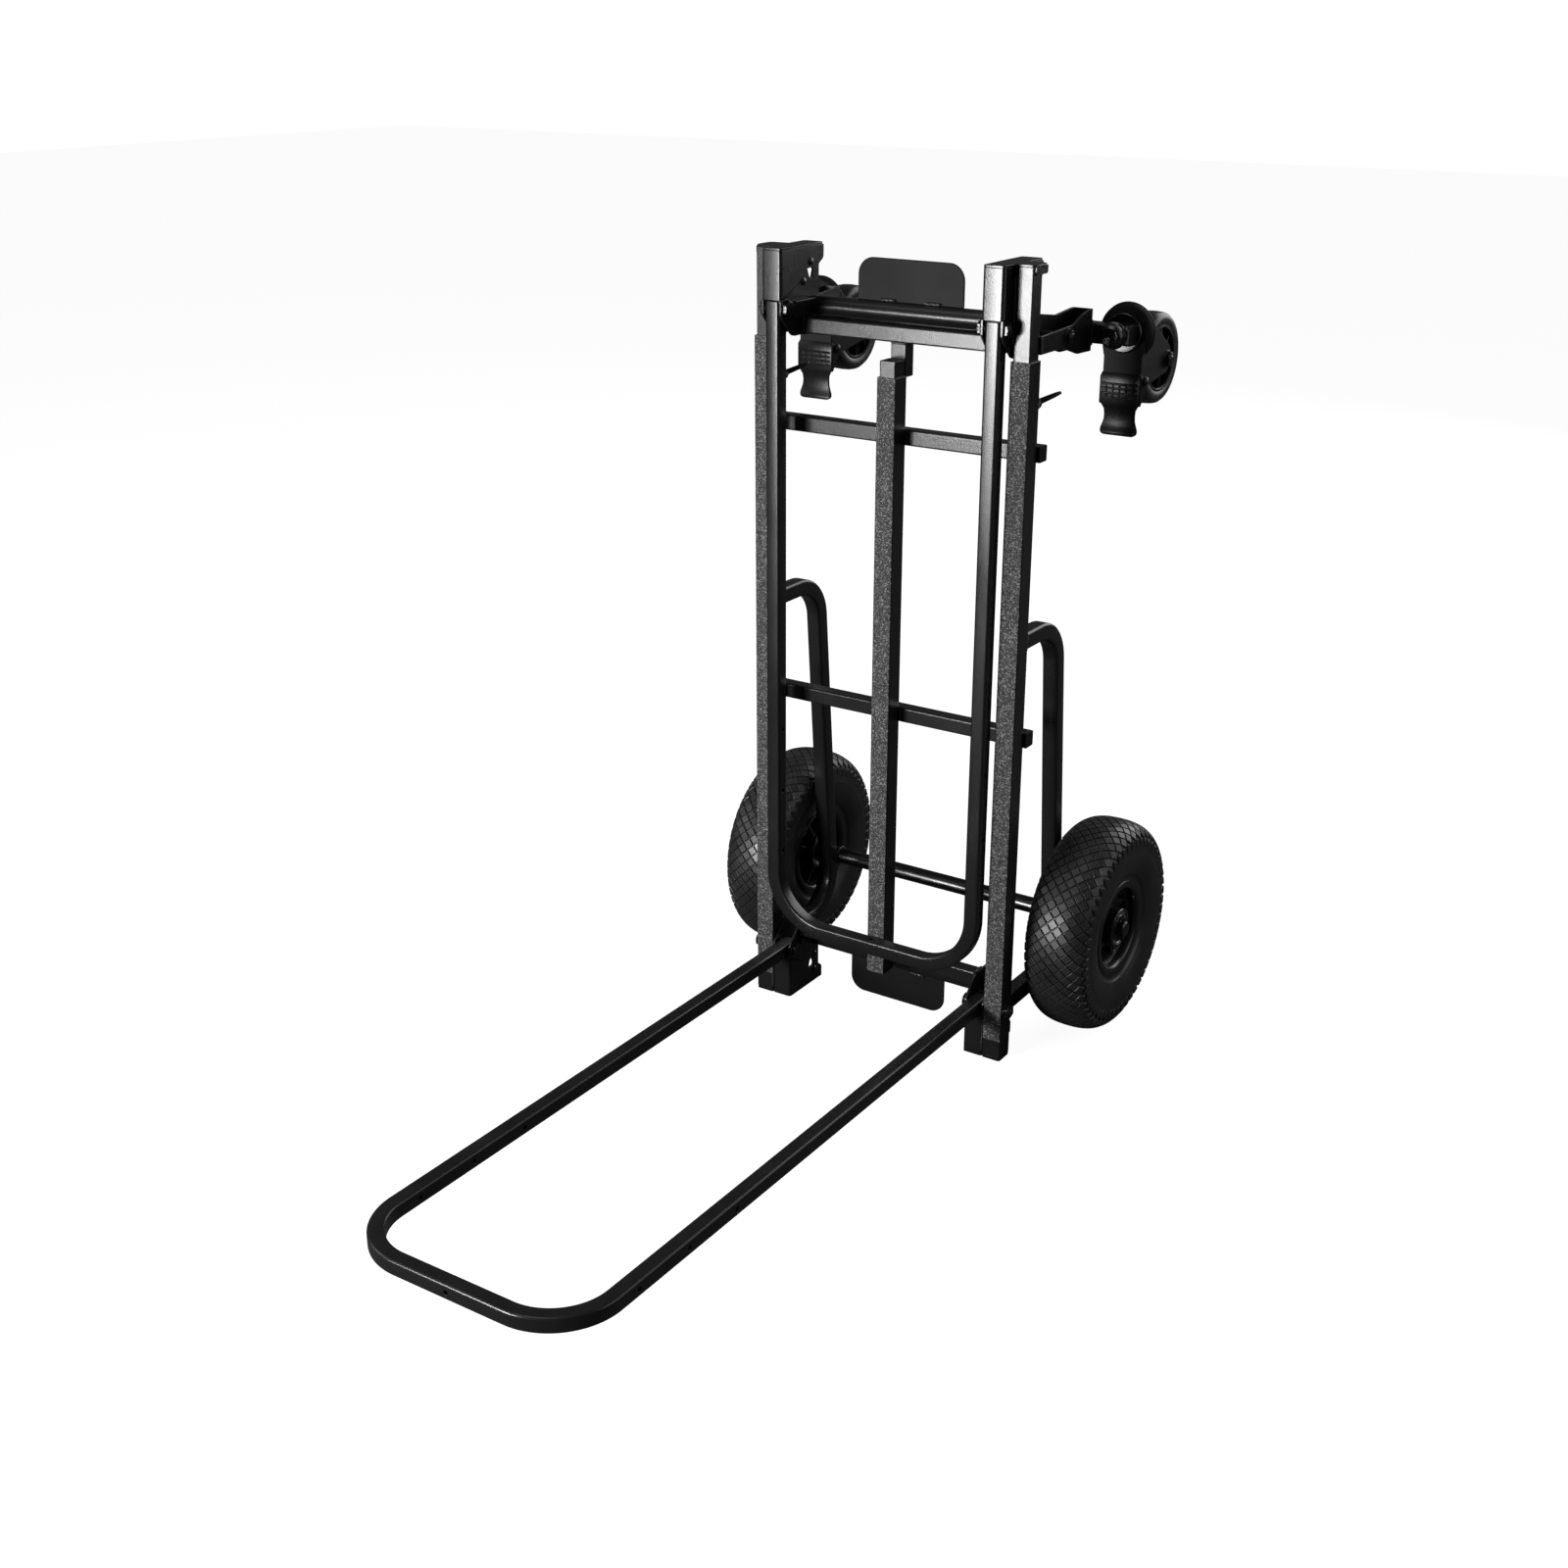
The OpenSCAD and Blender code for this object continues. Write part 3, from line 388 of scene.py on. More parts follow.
def build_edge_group():
    """Mask that is high along outer edges, with the normal of a softly rounded edge."""
    tree, given, out = new_group("rounded_edge",
                                 [("Radius", "Float", 0.0008), ("Wear", "Float", 0.3)],
                                 [("Mask", "Float"), ("Normal", "Vector")])
    rounded = node(tree, "Bevel", {"samples": 4})
    tree.links.new(given.outputs["Radius"], rounded.inputs["Radius"])
    flat = node(tree, "NewGeometry")
    same = tree.nodes.new("ShaderNodeVectorMath")
    same.operation = "DOT_PRODUCT"
    tree.links.new(rounded.outputs[0], same.inputs[0])
    tree.links.new(flat.outputs["True Normal"], same.inputs[1])
    away = maths(tree, "SUBTRACT", 1.0, same.outputs["Value"])
    place = object_place(tree)
    patches = ramp(tree, noise(tree, place, 55.0, 4.0), 0.42, 0.62)
    worn = maths(tree, "MULTIPLY", ramp(tree, away, 0.04, 0.3), patches)
    tree.links.new(maths(tree, "MULTIPLY", worn, given.outputs["Wear"], True), out.inputs["Mask"])
    tree.links.new(rounded.outputs[0], out.inputs["Normal"])
    return tree


def build_peel_group():
    """Fine dimpled skin of sprayed powder, and slow patches that vary its gloss."""
    tree, given, out = new_group("powder_skin",
                                 [("Scale", "Float", 650.0), ("Patch Scale", "Float", 9.0)],
                                 [("Height", "Float"), ("Patches", "Float")])
    place = object_place(tree)
    coarse = noise(tree, place, given.outputs["Scale"], 2.0, 0.55)
    fine = noise(tree, place, maths(tree, "MULTIPLY", given.outputs["Scale"], 2.7), 2.0)
    height = maths(tree, "ADD", maths(tree, "MULTIPLY", coarse, 0.7),
                   maths(tree, "MULTIPLY", fine, 0.3))
    tree.links.new(height, out.inputs["Height"])
    tree.links.new(noise(tree, place, given.outputs["Patch Scale"], 4.0), out.inputs["Patches"])
    return tree


def build_dust_group():
    """Thin dust that gathers on faces that look up, broken by noise."""
    tree, given, out = new_group("settled_dust",
                                 [("Amount", "Float", 0.2), ("Scale", "Float", 22.0)],
                                 [("Mask", "Float")])
    split = node(tree, "SeparateXYZ")
    tree.links.new(node(tree, "NewGeometry").outputs["Normal"], split.inputs[0])
    up = ramp(tree, split.outputs["Z"], 0.1, 1.0)
    place = object_place(tree)
    broken = ramp(tree, noise(tree, place, given.outputs["Scale"], 6.0, 0.65), 0.35, 0.75)
    facing = maths(tree, "ADD", maths(tree, "MULTIPLY", up, 0.8), 0.2)
    mask = maths(tree, "MULTIPLY", facing, broken)
    tree.links.new(maths(tree, "MULTIPLY", mask, given.outputs["Amount"], True), out.inputs["Mask"])
    return tree


def build_grain_group():
    """Bonded grains: raised cells with a brightness of their own."""
    tree, given, out = new_group("bonded_grains",
                                 [("Scale", "Float", 620.0)],
                                 [("Height", "Float"), ("Tone", "Float")])
    place = object_place(tree)
    cells = node(tree, "TexVoronoi", {"feature": "F1"})
    tree.links.new(place, cells.inputs["Vector"])
    tree.links.new(given.outputs["Scale"], cells.inputs["Scale"])
    height = ramp(tree, cells.outputs["Distance"], 0.05, 0.62, 1.0, 0.0)
    tone = node(tree, "SeparateColor")
    tree.links.new(cells.outputs["Color"], tone.inputs[0])
    size = ramp(tree, tone.outputs[1], 0.0, 1.0, 0.35, 1.0)
    tree.links.new(maths(tree, "MULTIPLY", height, size), out.inputs["Height"])
    tree.links.new(tone.outputs[0], out.inputs["Tone"])
    return tree


EDGE = build_edge_group()
PEEL = build_peel_group()
DUST = build_dust_group()
GRAIN = build_grain_group()


def use_group(tree, group, **values):
    made = tree.nodes.new("ShaderNodeGroup")
    made.node_tree = group
    for key, value in values.items():
        wire(tree, made, key, value)
    return made


def blank_material(name):
    """A material with just its output and its Principled shader."""
    material = bpy.data.materials.new(name)
    material.use_nodes = True
    tree = material.node_tree
    tree.nodes.clear()
    shader = tree.nodes.new("ShaderNodeBsdfPrincipled")
    output = tree.nodes.new("ShaderNodeOutputMaterial")
    tree.links.new(shader.outputs[0], output.inputs[0])
    return material, tree, shader


def bumped(tree, height, strength, distance, normal=None):
    made = node(tree, "Bump", Strength=strength, Distance=distance, Height=height)
    if normal is not None:
        tree.links.new(normal, made.inputs["Normal"])
    return made.outputs[0]


def powder_coat(name, colour, rough, edge_radius=0.0008, peel=650.0, depth=0.00022, shine=0.5):
    """Satin powder coat: dimpled skin, gloss that varies, lighter rubbed edges, some dust."""
    material, tree, shader = blank_material(name)
    edge = use_group(tree, EDGE, Radius=edge_radius, Wear=0.5)
    skin = use_group(tree, PEEL, Scale=peel)
    dust = use_group(tree, DUST, Amount=0.05)
    rubbed = blend_colour(tree, edge.outputs["Mask"], (*colour, 1), (0.09, 0.09, 0.092, 1))
    dusty = blend_colour(tree, dust.outputs["Mask"], rubbed, (0.2, 0.195, 0.185, 1))
    tree.links.new(dusty, shader.inputs["Base Color"])
    gloss = ramp(tree, skin.outputs["Patches"], 0.3, 0.7, rough - 0.04, rough + 0.05)
    dulled = maths(tree, "MULTIPLY", dust.outputs["Mask"], 0.4)
    tree.links.new(maths(tree, "ADD", gloss, dulled, True), shader.inputs["Roughness"])
    tree.links.new(bumped(tree, skin.outputs["Height"], 0.5, depth, edge.outputs["Normal"]),
                   shader.inputs["Normal"])
    shader.inputs["Specular IOR Level"].default_value = shine
    return material


def grip_grit(name):
    """Dark mineral grit bonded to the rails: rough, speckled, with a few bright grains."""
    material, tree, shader = blank_material(name)
    grain = use_group(tree, GRAIN, Scale=950.0)
    place = object_place(tree)
    speckle = ramp(tree, grain.outputs["Tone"], 0.25, 1.0)
    base = blend_colour(tree, speckle, (0.018, 0.018, 0.019, 1), (0.11, 0.11, 0.113, 1))
    bright = ramp(tree, grain.outputs["Tone"], 0.86, 0.9)
    mixed = blend_colour(tree, bright, base, (0.3, 0.3, 0.3, 1))
    worn = ramp(tree, noise(tree, place, 6.0, 5.0), 0.45, 0.75, 0.0, 0.25)
    tree.links.new(blend_colour(tree, worn, mixed, (0.03, 0.03, 0.031, 1)),
                   shader.inputs["Base Color"])
    tree.links.new(ramp(tree, grain.outputs["Tone"], 0.0, 1.0, 0.85, 0.5),
                   shader.inputs["Roughness"])
    tree.links.new(bumped(tree, grain.outputs["Height"], 0.9, 0.0007), shader.inputs["Normal"])
    return material


def rubber(name, colour, rough, dusting=0.25):
    """Moulded rubber with a fine grained skin and pale dust in patches."""
    material, tree, shader = blank_material(name)
    place = object_place(tree)
    edge = use_group(tree, EDGE, Radius=0.0006, Wear=0.35)
    dust = use_group(tree, DUST, Amount=dusting, Scale=34.0)
    blotch = ramp(tree, noise(tree, place, 17.0, 5.0), 0.3, 0.7)
    base = blend_colour(tree, blotch, (*colour, 1), (*[c * 1.6 for c in colour], 1))
    scuffed = blend_colour(tree, edge.outputs["Mask"], base, (0.07, 0.07, 0.07, 1))
    tree.links.new(blend_colour(tree, dust.outputs["Mask"], scuffed, (0.13, 0.125, 0.118, 1)),
                   shader.inputs["Base Color"])
    tree.links.new(ramp(tree, blotch, 0.0, 1.0, rough - 0.08, rough + 0.08),
                   shader.inputs["Roughness"])
    skin = noise(tree, place, 900.0, 3.0)
    tree.links.new(bumped(tree, skin, 0.3, 0.00025, edge.outputs["Normal"]),
                   shader.inputs["Normal"])
    return material


def bare_metal(name, colour, rough, grain_scale=420.0):
    """Plated steel with faint brushed streaks and a little tarnish."""
    material, tree, shader = blank_material(name)
    place = object_place(tree)
    stretch = node(tree, "Mapping", Vector=place)
    stretch.inputs["Scale"].default_value = (0.12, 1.0, 1.0)
    streak = noise(tree, stretch.outputs[0], grain_scale, 3.0)
    edge = use_group(tree, EDGE, Radius=0.0006, Wear=0.4)
    tarnish = ramp(tree, noise(tree, place, 60.0, 5.0), 0.4, 0.7)
    base = blend_colour(tree, tarnish, (*colour, 1), (*[c * 0.7 for c in colour], 1))
    rubbed = (*[min(1, c * 1.5) for c in colour], 1)
    tree.links.new(blend_colour(tree, edge.outputs["Mask"], base, rubbed),
                   shader.inputs["Base Color"])
    shader.inputs["Metallic"].default_value = 1.0
    tree.links.new(ramp(tree, streak, 0.3, 0.7, rough - 0.07, rough + 0.08),
                   shader.inputs["Roughness"])
    tree.links.new(bumped(tree, streak, 0.15, 0.0001, edge.outputs["Normal"]),
                   shader.inputs["Normal"])
    return material


def moulded_plastic(name, colour, rough):
    """Black moulded plastic with a fine spark-eroded texture."""
    material, tree, shader = blank_material(name)
    place = object_place(tree)
    edge = use_group(tree, EDGE, Radius=0.0007, Wear=0.3)
    dust = use_group(tree, DUST, Amount=0.12, Scale=40.0)
    scuffed = blend_colour(tree, edge.outputs["Mask"], (*colour, 1), (0.08, 0.08, 0.08, 1))
    tree.links.new(blend_colour(tree, dust.outputs["Mask"], scuffed, (0.16, 0.155, 0.15, 1)),
                   shader.inputs["Base Color"])
    shader.inputs["Specular IOR Level"].default_value = 0.2
    skin = noise(tree, place, 1100.0, 4.0, 0.6)
    tree.links.new(ramp(tree, skin, 0.3, 0.7, rough - 0.06, rough + 0.06),
                   shader.inputs["Roughness"])
    tree.links.new(bumped(tree, skin, 0.25, 0.0002, edge.outputs["Normal"]),
                   shader.inputs["Normal"])
    return material


COAT = powder_coat("black_powder_coat", (0.008, 0.008, 0.0083), 0.23, depth=0.0003)
MATT_COAT = powder_coat("matt_powder_coat", (0.006, 0.006, 0.0062), 0.5, depth=0.0002, shine=0.12)
# Weld beads: the black coat made glossier, and a lighter grey (0.02 against 0.008). The glossier coat is real; the
# lighter grey is painted highlight, standing in for the light the rippled beads catch.
WELD_COAT_PAINTED_HIGHLIGHT = powder_coat("coated_weld", (0.02, 0.02, 0.0205), 0.17, 0.0003, 900.0, 0.0001)
GRIT = grip_grit("grip_grit")
TYRE = rubber("tyre_rubber", (0.011, 0.011, 0.0115), 0.38)
CASTER = rubber("caster_rubber", (0.010, 0.010, 0.0105), 0.36, 0.08)
BLACK_STEEL = bare_metal("blackened_steel", (0.075, 0.075, 0.078), 0.27)
ZINC = bare_metal("zinc_steel", (0.62, 0.62, 0.63), 0.33)
PLASTIC = moulded_plastic("black_plastic", (0.005, 0.005, 0.0052), 0.27)

FINISH = {"black_powder_coat": COAT, "grip_grit": GRIT, "black_plastic": PLASTIC,
          "blackened_steel": BLACK_STEEL, "zinc_steel": ZINC, "tyre_rubber": TYRE,
          "caster_rubber": CASTER}
for entry in frame["record"]["subparts"]:
    for material_slot in frame["nodes"][entry["node"]].material_slots:
        material_slot.material = FINISH[entry["material_slot"]]


# ---------------------------------------------------------------- U handles

HANDLE_TUBE = 18.0
HOLE_RADIUS = 2.75
FIRST_HOLE, HOLE_PITCH = 105, 80    # back from the tip of the U


def u_handle_piece(name, cad, body, pivot, reach, lie):
    """Square tube bent into a U. reach points from the pivot to the tip, lie is the U's normal."""
    low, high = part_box(cad)
    leg = high.x / MM - HANDLE_TUBE / 2
    bend = 70.0 * MM
    ends = [(corner - pivot).dot(reach) / MM for corner in (low, high)]
    length, heel = max(ends), -min(ends)
    tip = pivot + reach * (length - HANDLE_TUBE / 2) * MM
    side = AXIS_X * leg * MM
    corners = [pivot - side - reach * heel * MM, tip - side, tip + side,
               pivot + side - reach * heel * MM]
    form = Form()
    sweep(form, bent_path(corners, [0, bend, bend, 0], lie, 28),
          rounded_rect(HANDLE_TUBE, HANDLE_TUBE, 3.0, 6))
    piece = make(name, form, body, COAT, 40, nodes=(cad,))
    holes = [(tip, reach, HOLE_RADIUS, 30)]
    for _, sx in SIDES:
        for i in range(3):
            along = length - FIRST_HOLE - HOLE_PITCH * i
            holes.append((pivot + AXIS_X * sx * leg * MM + reach * along * MM,
                          AXIS_X, HOLE_RADIUS, 30))
    drill(piece, holes)


NOSE_PIVOT = Vector(next(j for j in frame["joints"] if j["name"] == "nose_fold")["pos_m"])
HEAD_PIVOT = Vector(next(j for j in frame["joints"] if j["name"] == "handle_fold")["pos_m"])
u_handle_piece("nose_u", "nose_handle", "nose", NOSE_PIVOT, -AXIS_Y, AXIS_Z)
u_handle_piece("top_u", "top_handle", "handle", HEAD_PIVOT, -AXIS_Z, AXIS_Y)


# ---------------------------------------------------------------- axle hoops

def axle_hoop_piece(side):
    """Square tube from the rail back, down past the axle and forward to the rail again."""
    x0, x1, y0, _, z0, z1 = box_mm(side + "_axle_hoop")
    size = x1 - x0
    middle = (x0 + x1) / 2
    bend = 50.0
    lean = math.radians(5.0)
    high, low = z1 - size / 2, z0 + size / 2
    bend_start_y = 68.0

    def back_y(z):
        """How far back the leaning leg is at a height."""
        return bend_start_y + bend / math.cos(lean) + (high - bend - z) * math.tan(lean)

    corners = [at(middle, y0, high), at(middle, back_y(high), high),
               at(middle, back_y(low), low), at(middle, y0, low)]
    form = Form()
    sweep(form, bent_path(corners, [0, bend * MM, bend * MM, 0], AXIS_X, 24),
          rounded_rect(size, size, 3.4, 6))
    make(side + "_hoop_tube", form, "lower_frame", COAT, 40,
         nodes=(side + "_axle_hoop",))


for side_name, _ in SIDES:
    axle_hoop_piece(side_name)


# ---------------------------------------------------------------- gritty strips

def grit_strip(form, x0, x1, z0, z1, y_base, y_top):
    """Sheet of coarse grains on a front face, thin at its borders."""
    cell = 1.15
    across = max(4, int((x1 - x0) / cell))
    up = int((z1 - z0) / cell)
    rows = []
    for k in range(up + 1):
        row = []
        for i in range(across + 1):
            border = min(i, across - i, k, up - k)
            lift = 0.0 if border == 0 else random.uniform(0.45, 1.0)
            lift = lift if border > 1 else lift * 0.7
            jitter = 0.0 if border == 0 else cell * 0.28
            x = x0 + (x1 - x0) * i / across + random.uniform(-jitter, jitter)
            z = z0 + (z1 - z0) * k / up + random.uniform(-jitter, jitter)
            row.append(at(x, y_base + (y_top - y_base) * lift, z))
        rows.append(row)
    points = [p for row in rows for p in row]
    wide = across + 1
    faces = [(k * wide + i, k * wide + i + 1, (k + 1) * wide + i + 1, (k + 1) * wide + i)
             for k in range(up) for i in range(across)]
    form.add(points, faces)


strip_box = box_mm("grip_strips")
rail_box = box_mm("right_rail")
centre_box = box_mm("centre_tube")
grit_form = Form()
half_strip = (rail_box[1] - rail_box[0]) / 2 - 0.6
rail_mid = (rail_box[0] + rail_box[1]) / 2
for mid, low_z, high_z in ((-rail_mid, strip_box[4], strip_box[5]),
                           (rail_mid, strip_box[4], strip_box[5]),
                           (0, centre_box[4], centre_box[5])):
    grit_strip(grit_form, mid - half_strip, mid + half_strip, low_z, high_z,
               -0.02, strip_box[2] * 0.95)
make("grit_faces", grit_form, "lower_frame", GRIT, 60, nodes=("grip_strips",))


# ---------------------------------------------------------------- tyres and rims

def smooth_curve(points, steps):
    """Points along a Catmull-Rom curve through the given points."""
    padded = [points[0]] + list(points) + [points[-1]]
    out = []
    for i in range(1, len(padded) - 2):
        p0, p1, p2, p3 = padded[i - 1:i + 3]
        for k in range(steps):
            t = k / steps
            out.append(tuple(0.5 * (2 * b + (c - a) * t + (2 * a - 5 * b + 4 * c - d) * t * t
                                    + (3 * b - a - 3 * c + d) * t ** 3)
                             for a, b, c, d in zip(p0, p1, p2, p3)))
    out.append(points[-1])
    return out


def build_tyre(side):
    """Carcass with ribs on its wall, and a tread of diamond blocks with lugs at the shoulders."""
    x0, x1, y0, y1, z0, z1 = box_mm(side + "_tyre")
    centre = at((x0 + x1) / 2, (y0 + y1) / 2, (z0 + z1) / 2)
    outer = (z1 - z0) / 2
    half = (x1 - x0) / 2
    depth = 2.1
    crown = outer - depth
    wall = smooth_curve([(0, crown), (14, crown - 0.8), (26, crown - 4.0), (34.5, crown - 10.5),
                         (half - 1.9, crown - 20), (half - 0.9, crown - 32),
                         (half - 1.3, crown - 44), (half - 4.2, crown - 56),
                         (half - 9, crown - 65), (31.5, 61.5), (30.2, 58)], 7)
    form = Form()
    ribbed = []
    for w, r in wall:
        lift = 0.5 if 36 < outer - r < 37.6 or 62 < outer - r < 64.5 else 0.0
        ribbed.append((w + lift, r))
    outline = [(r, -w) for w, r in reversed(ribbed)] + [(r, w) for w, r in ribbed[1:]]
    lathe(form, outline, centre, AXIS_X, 128, capped=False)

    # Arc length across the tread, so that blocks keep their size on the shoulder
    arc = [0.0]
    for a, b in zip(wall, wall[1:]):
        arc.append(arc[-1] + math.dist(a, b))

    def on_tread(s, angle, lift):
        """Point at arc length s across the tread, raised by lift."""
        distance = min(abs(s), arc[-1] - 1e-6)
        i = max(j for j in range(len(arc) - 1) if arc[j] <= distance)
        part = (distance - arc[i]) / (arc[i + 1] - arc[i])
        w = wall[i][0] + (wall[i + 1][0] - wall[i][0]) * part
        r = wall[i][1] + (wall[i + 1][1] - wall[i][1]) * part
        dw, dr = wall[i + 1][0] - wall[i][0], wall[i + 1][1] - wall[i][1]
        norm = math.hypot(dw, dr)
        w, r = w - dr / norm * lift, r + dw / norm * lift
        return centre + Vector((math.copysign(w, s) if s else 0.0, r * math.cos(angle),
                                r * math.sin(angle))) * MM

    around = 54
    pitch = 2 * math.pi / around
    row_gap = 7.4
    reach_a = pitch * 0.5 * 0.9
    reach_s = row_gap * 0.9
    blocks = Form()
    for row in range(-5, 6):
        s_mid = row * row_gap
        for k in range(around):
            mid_angle = pitch * (k + (0.5 if row % 2 else 0.0))
            corners = [(0, -1), (0.52, -0.48), (1, 0), (0.48, 0.52), (0, 1), (-0.52, 0.48),
                       (-1, 0), (-0.48, -0.52)]
            rings = []
            for grow, lift in ((1.0, -0.6), (0.97, depth - 0.45), (0.88, depth)):
                rings.append([on_tread(s_mid + b * reach_s * grow,
                                       mid_angle + a * reach_a * grow, lift)
                              for a, b in corners])
            blocks.rings(rings)
    for edge in (-1, 1):
        for k in range(around):
            mid_angle = pitch * k
            near, far = 5.75 * row_gap, 7.35 * row_gap
            rings = []
            for grow, lift in ((1.0, -0.6), (0.96, depth - 0.6), (0.84, depth - 0.15)):
                mid_s, span = (near + far) / 2, (far - near) / 2 * grow
                wide = reach_a * 0.86 * grow
                rings.append([on_tread(edge * (mid_s - span), mid_angle - wide * 0.3, lift),
                              on_tread(edge * (mid_s - span), mid_angle + wide * 0.3, lift),
                              on_tread(edge * (mid_s - span * 0.2), mid_angle + wide, lift),
                              on_tread(edge * (mid_s + span), mid_angle + wide * 0.9, lift * 0.2),
                              on_tread(edge * (mid_s + span), mid_angle - wide * 0.9, lift * 0.2),
                              on_tread(edge * (mid_s - span * 0.2), mid_angle - wide, lift)])
            blocks.rings(rings)
    form.add(blocks.points, blocks.faces)
    make(side + "_tyre_tread", form, side + "_wheel", TYRE, 38,
         nodes=(side + "_tyre",))


def build_rim(side, sx):
    """Pressed steel rim: rolled flanges, barrel, a disc with four deep pockets, hub and valve."""
    x0, x1, y0, y1, z0, z1 = box_mm(side + "_rim")
    centre = at((x0 + x1) / 2, (y0 + y1) / 2, (z0 + z1) / 2)
    hub = (x1 - x0) / 2
    axis = AXIS_X * sx
    form = Form()
    flange = []
    for i in range(9):
        a = math.pi * i / 8
        flange.append((59.2 + 1.6 * math.sin(a), 31.0 + 1.6 * math.cos(a)))
    outer_face = [(49.0, 28.0), (50.5, 30.6), (52.5, 32.2), (57.0, 32.6)]
    for face in (1, -1):
        lathe(form, [(r, face * h) for r, h in [(49.0, 4.0)] + outer_face + flange
                     + [(55.0, 29.4), (52.6, 26.0), (52.4, 4.0)]], centre, axis, 96, capped=False)
    # Disc as a field of heights over radius and angle
    around, rows = 144, 30
    low_r, high_r = 22.0, 50.0
    rings_front = []
    for j in range(rows + 1):
        r = low_r + (high_r - low_r) * j / rows
        ring = []
        for i in range(around):
            a = 2 * math.pi * i / around
            sector = math.cos(4 * a)
            in_sector = min(1.0, max(0.0, (sector + 0.25) / 0.5))
            in_sector = in_sector * in_sector * (3 - 2 * in_sector)
            radial = min(1.0, max(0.0, (r - 27) / 4)) * min(1.0, max(0.0, (46.5 - r) / 4))
            radial = radial * radial * (3 - 2 * radial)
            dish = 15 + 6 * ((r - low_r) / (high_r - low_r)) ** 2 \
                + 3.0 * math.exp(-((r - 25) / 3) ** 2)
            height = dish - 13 * in_sector * radial
            u, v = cross_axes(axis)
            ring.append(centre + axis * height * MM + (u * math.cos(a) + v * math.sin(a)) * r * MM)
        rings_front.append(ring)
    back = [[p - axis * 2.2 * MM for p in ring] for ring in reversed(rings_front)]
    form.rings(rings_front + back, closed=True)
    # Hub tube with its bearing lips, and ribs behind the disc
    for face in (1, -1):
        lathe(form, [(24.6, 0), (24.6, face * (hub - 1.2)), (23.6, face * hub), (20.9, face * hub),
                     (20.9, face * (hub - 3))], centre, axis, 72, capped=False)
    for i in range(8):
        a = 2 * math.pi * (i + 0.5) / 8
        u, v = cross_axes(axis)
        way, wide = u * math.cos(a) + v * math.sin(a), -u * math.sin(a) + v * math.cos(a)
        rib = []
        for r, low, high in ((24, -hub + 5, 14), (49.5, -22, 17)):
            rib.append([centre + way * r * MM + wide * w * MM + axis * h * MM
                        for w, h in ((-1.3, low), (1.3, low), (1.3, high), (-1.3, high))])
        form.rings(rib)
    make(side + "_rim_pressing", form, side + "_wheel", COAT, 34,
         nodes=(side + "_rim",))
    # Valve and bearing shields
    stem = Form()
    u, v = cross_axes(axis)
    foot = centre + (u * math.cos(0.785) + v * math.sin(0.785)) * 41.5 * MM + axis * 17 * MM
    lathe(stem, [(4.6, -3), (4.6, 1), (3.4, 2.2), (3.2, 7), (2.6, 7.6), (2.6, 12.5), (3.0, 12.8),
                 (3.0, 17), (2.2, 18)], foot, axis, 24)
    make(side + "_valve", stem, side + "_wheel", PLASTIC, 34)
    shields = Form()
    for face in (1, -1):
        lathe(shields, [(10.3, face * (hub - 4)), (10.3, face * (hub - 0.9)),
                        (13.2, face * (hub - 0.9)), (13.6, face * (hub - 1.5)),
                        (18.4, face * (hub - 1.5)),
                        (18.8, face * (hub - 0.9)), (20.8, face * (hub - 0.9)),
                        (20.8, face * (hub - 4))], centre, axis, 64, capped=False)
    make(side + "_bearing_shields", shields, side + "_wheel", ZINC, 34,
         nodes=(side + "_bearings",))


for side_name, sign in SIDES:
    build_tyre(side_name)
    build_rim(side_name, sign)


# ---------------------------------------------------------------- bolts, nuts and pins

def hex_bolt(form, place, way, flats, height, shank=0.0, reach=0.0):
    """A washer and a hex head on a face, with a threaded end standing out past a nut."""
    washer(form, place, way, flats * 0.68, 1.0)
    hexagon(form, place + way * MM, way, flats, height - 1.0)
    if reach:
        lathe(form, [(shank, 0), (shank, reach - 0.8), (shank - 0.8, reach)], place, way, 28)


def through_bolt(form, sx, x_in, x_out, y, z, flats, shank, head_in=6.0, head_out=5.0, tail=2.0):
    """Bolt along X through a bracket: head inside, washer, nut and thread end outside."""
    inner, outer = at(sx * x_in, y, z), at(sx * x_out, y, z)
    way = AXIS_X * sx
    hex_bolt(form, inner, -way, flats, head_in)
    hex_bolt(form, outer, way, flats, head_out, shank, head_out + tail)
    lathe(form, [(shank, -0.5), (shank, x_out - x_in + 0.5)], inner, way, 28)


BRACKET_IN, BRACKET_OUT = box_mm("right_foot_bracket")[0], box_mm("right_foot_bracket")[1]
RAIL_OUT = box_mm("right_rail")[1]
NOSE_Y, NOSE_Z = (NOSE_PIVOT.y - FRONT) / MM, NOSE_PIVOT.z / MM
HEAD_Y, HEAD_Z = (HEAD_PIVOT.y - FRONT) / MM, HEAD_PIVOT.z / MM


def pivot_bolts():
    """The bolts of the nose, the handle and the caster arms, a pair of each."""
    arm_y, arm_z = 88.0, 851.0
    for name, body, cad, *bolt in (
            ("nose_bolts", "lower_frame", "nose_pivot_bolts",
             BRACKET_IN, RAIL_OUT, NOSE_Y, NOSE_Z, 16, 5, 6, 6),
            ("handle_bolts", "upper_frame", "handle_pivot_bolts",
             BRACKET_IN, BRACKET_OUT, HEAD_Y, HEAD_Z, 16, 5, 6, 5, 1.0),
            ("arm_fasteners", "upper_frame", "arm_bolts",
             BRACKET_OUT, RAIL_OUT, arm_y, arm_z, 13, 4, 6, 5, 1.0)):
        form = Form()
        for _, sx in SIDES:
            through_bolt(form, sx, *bolt)
        make(name, form, body, BLACK_STEEL, 32, 0.3, nodes=(cad,))


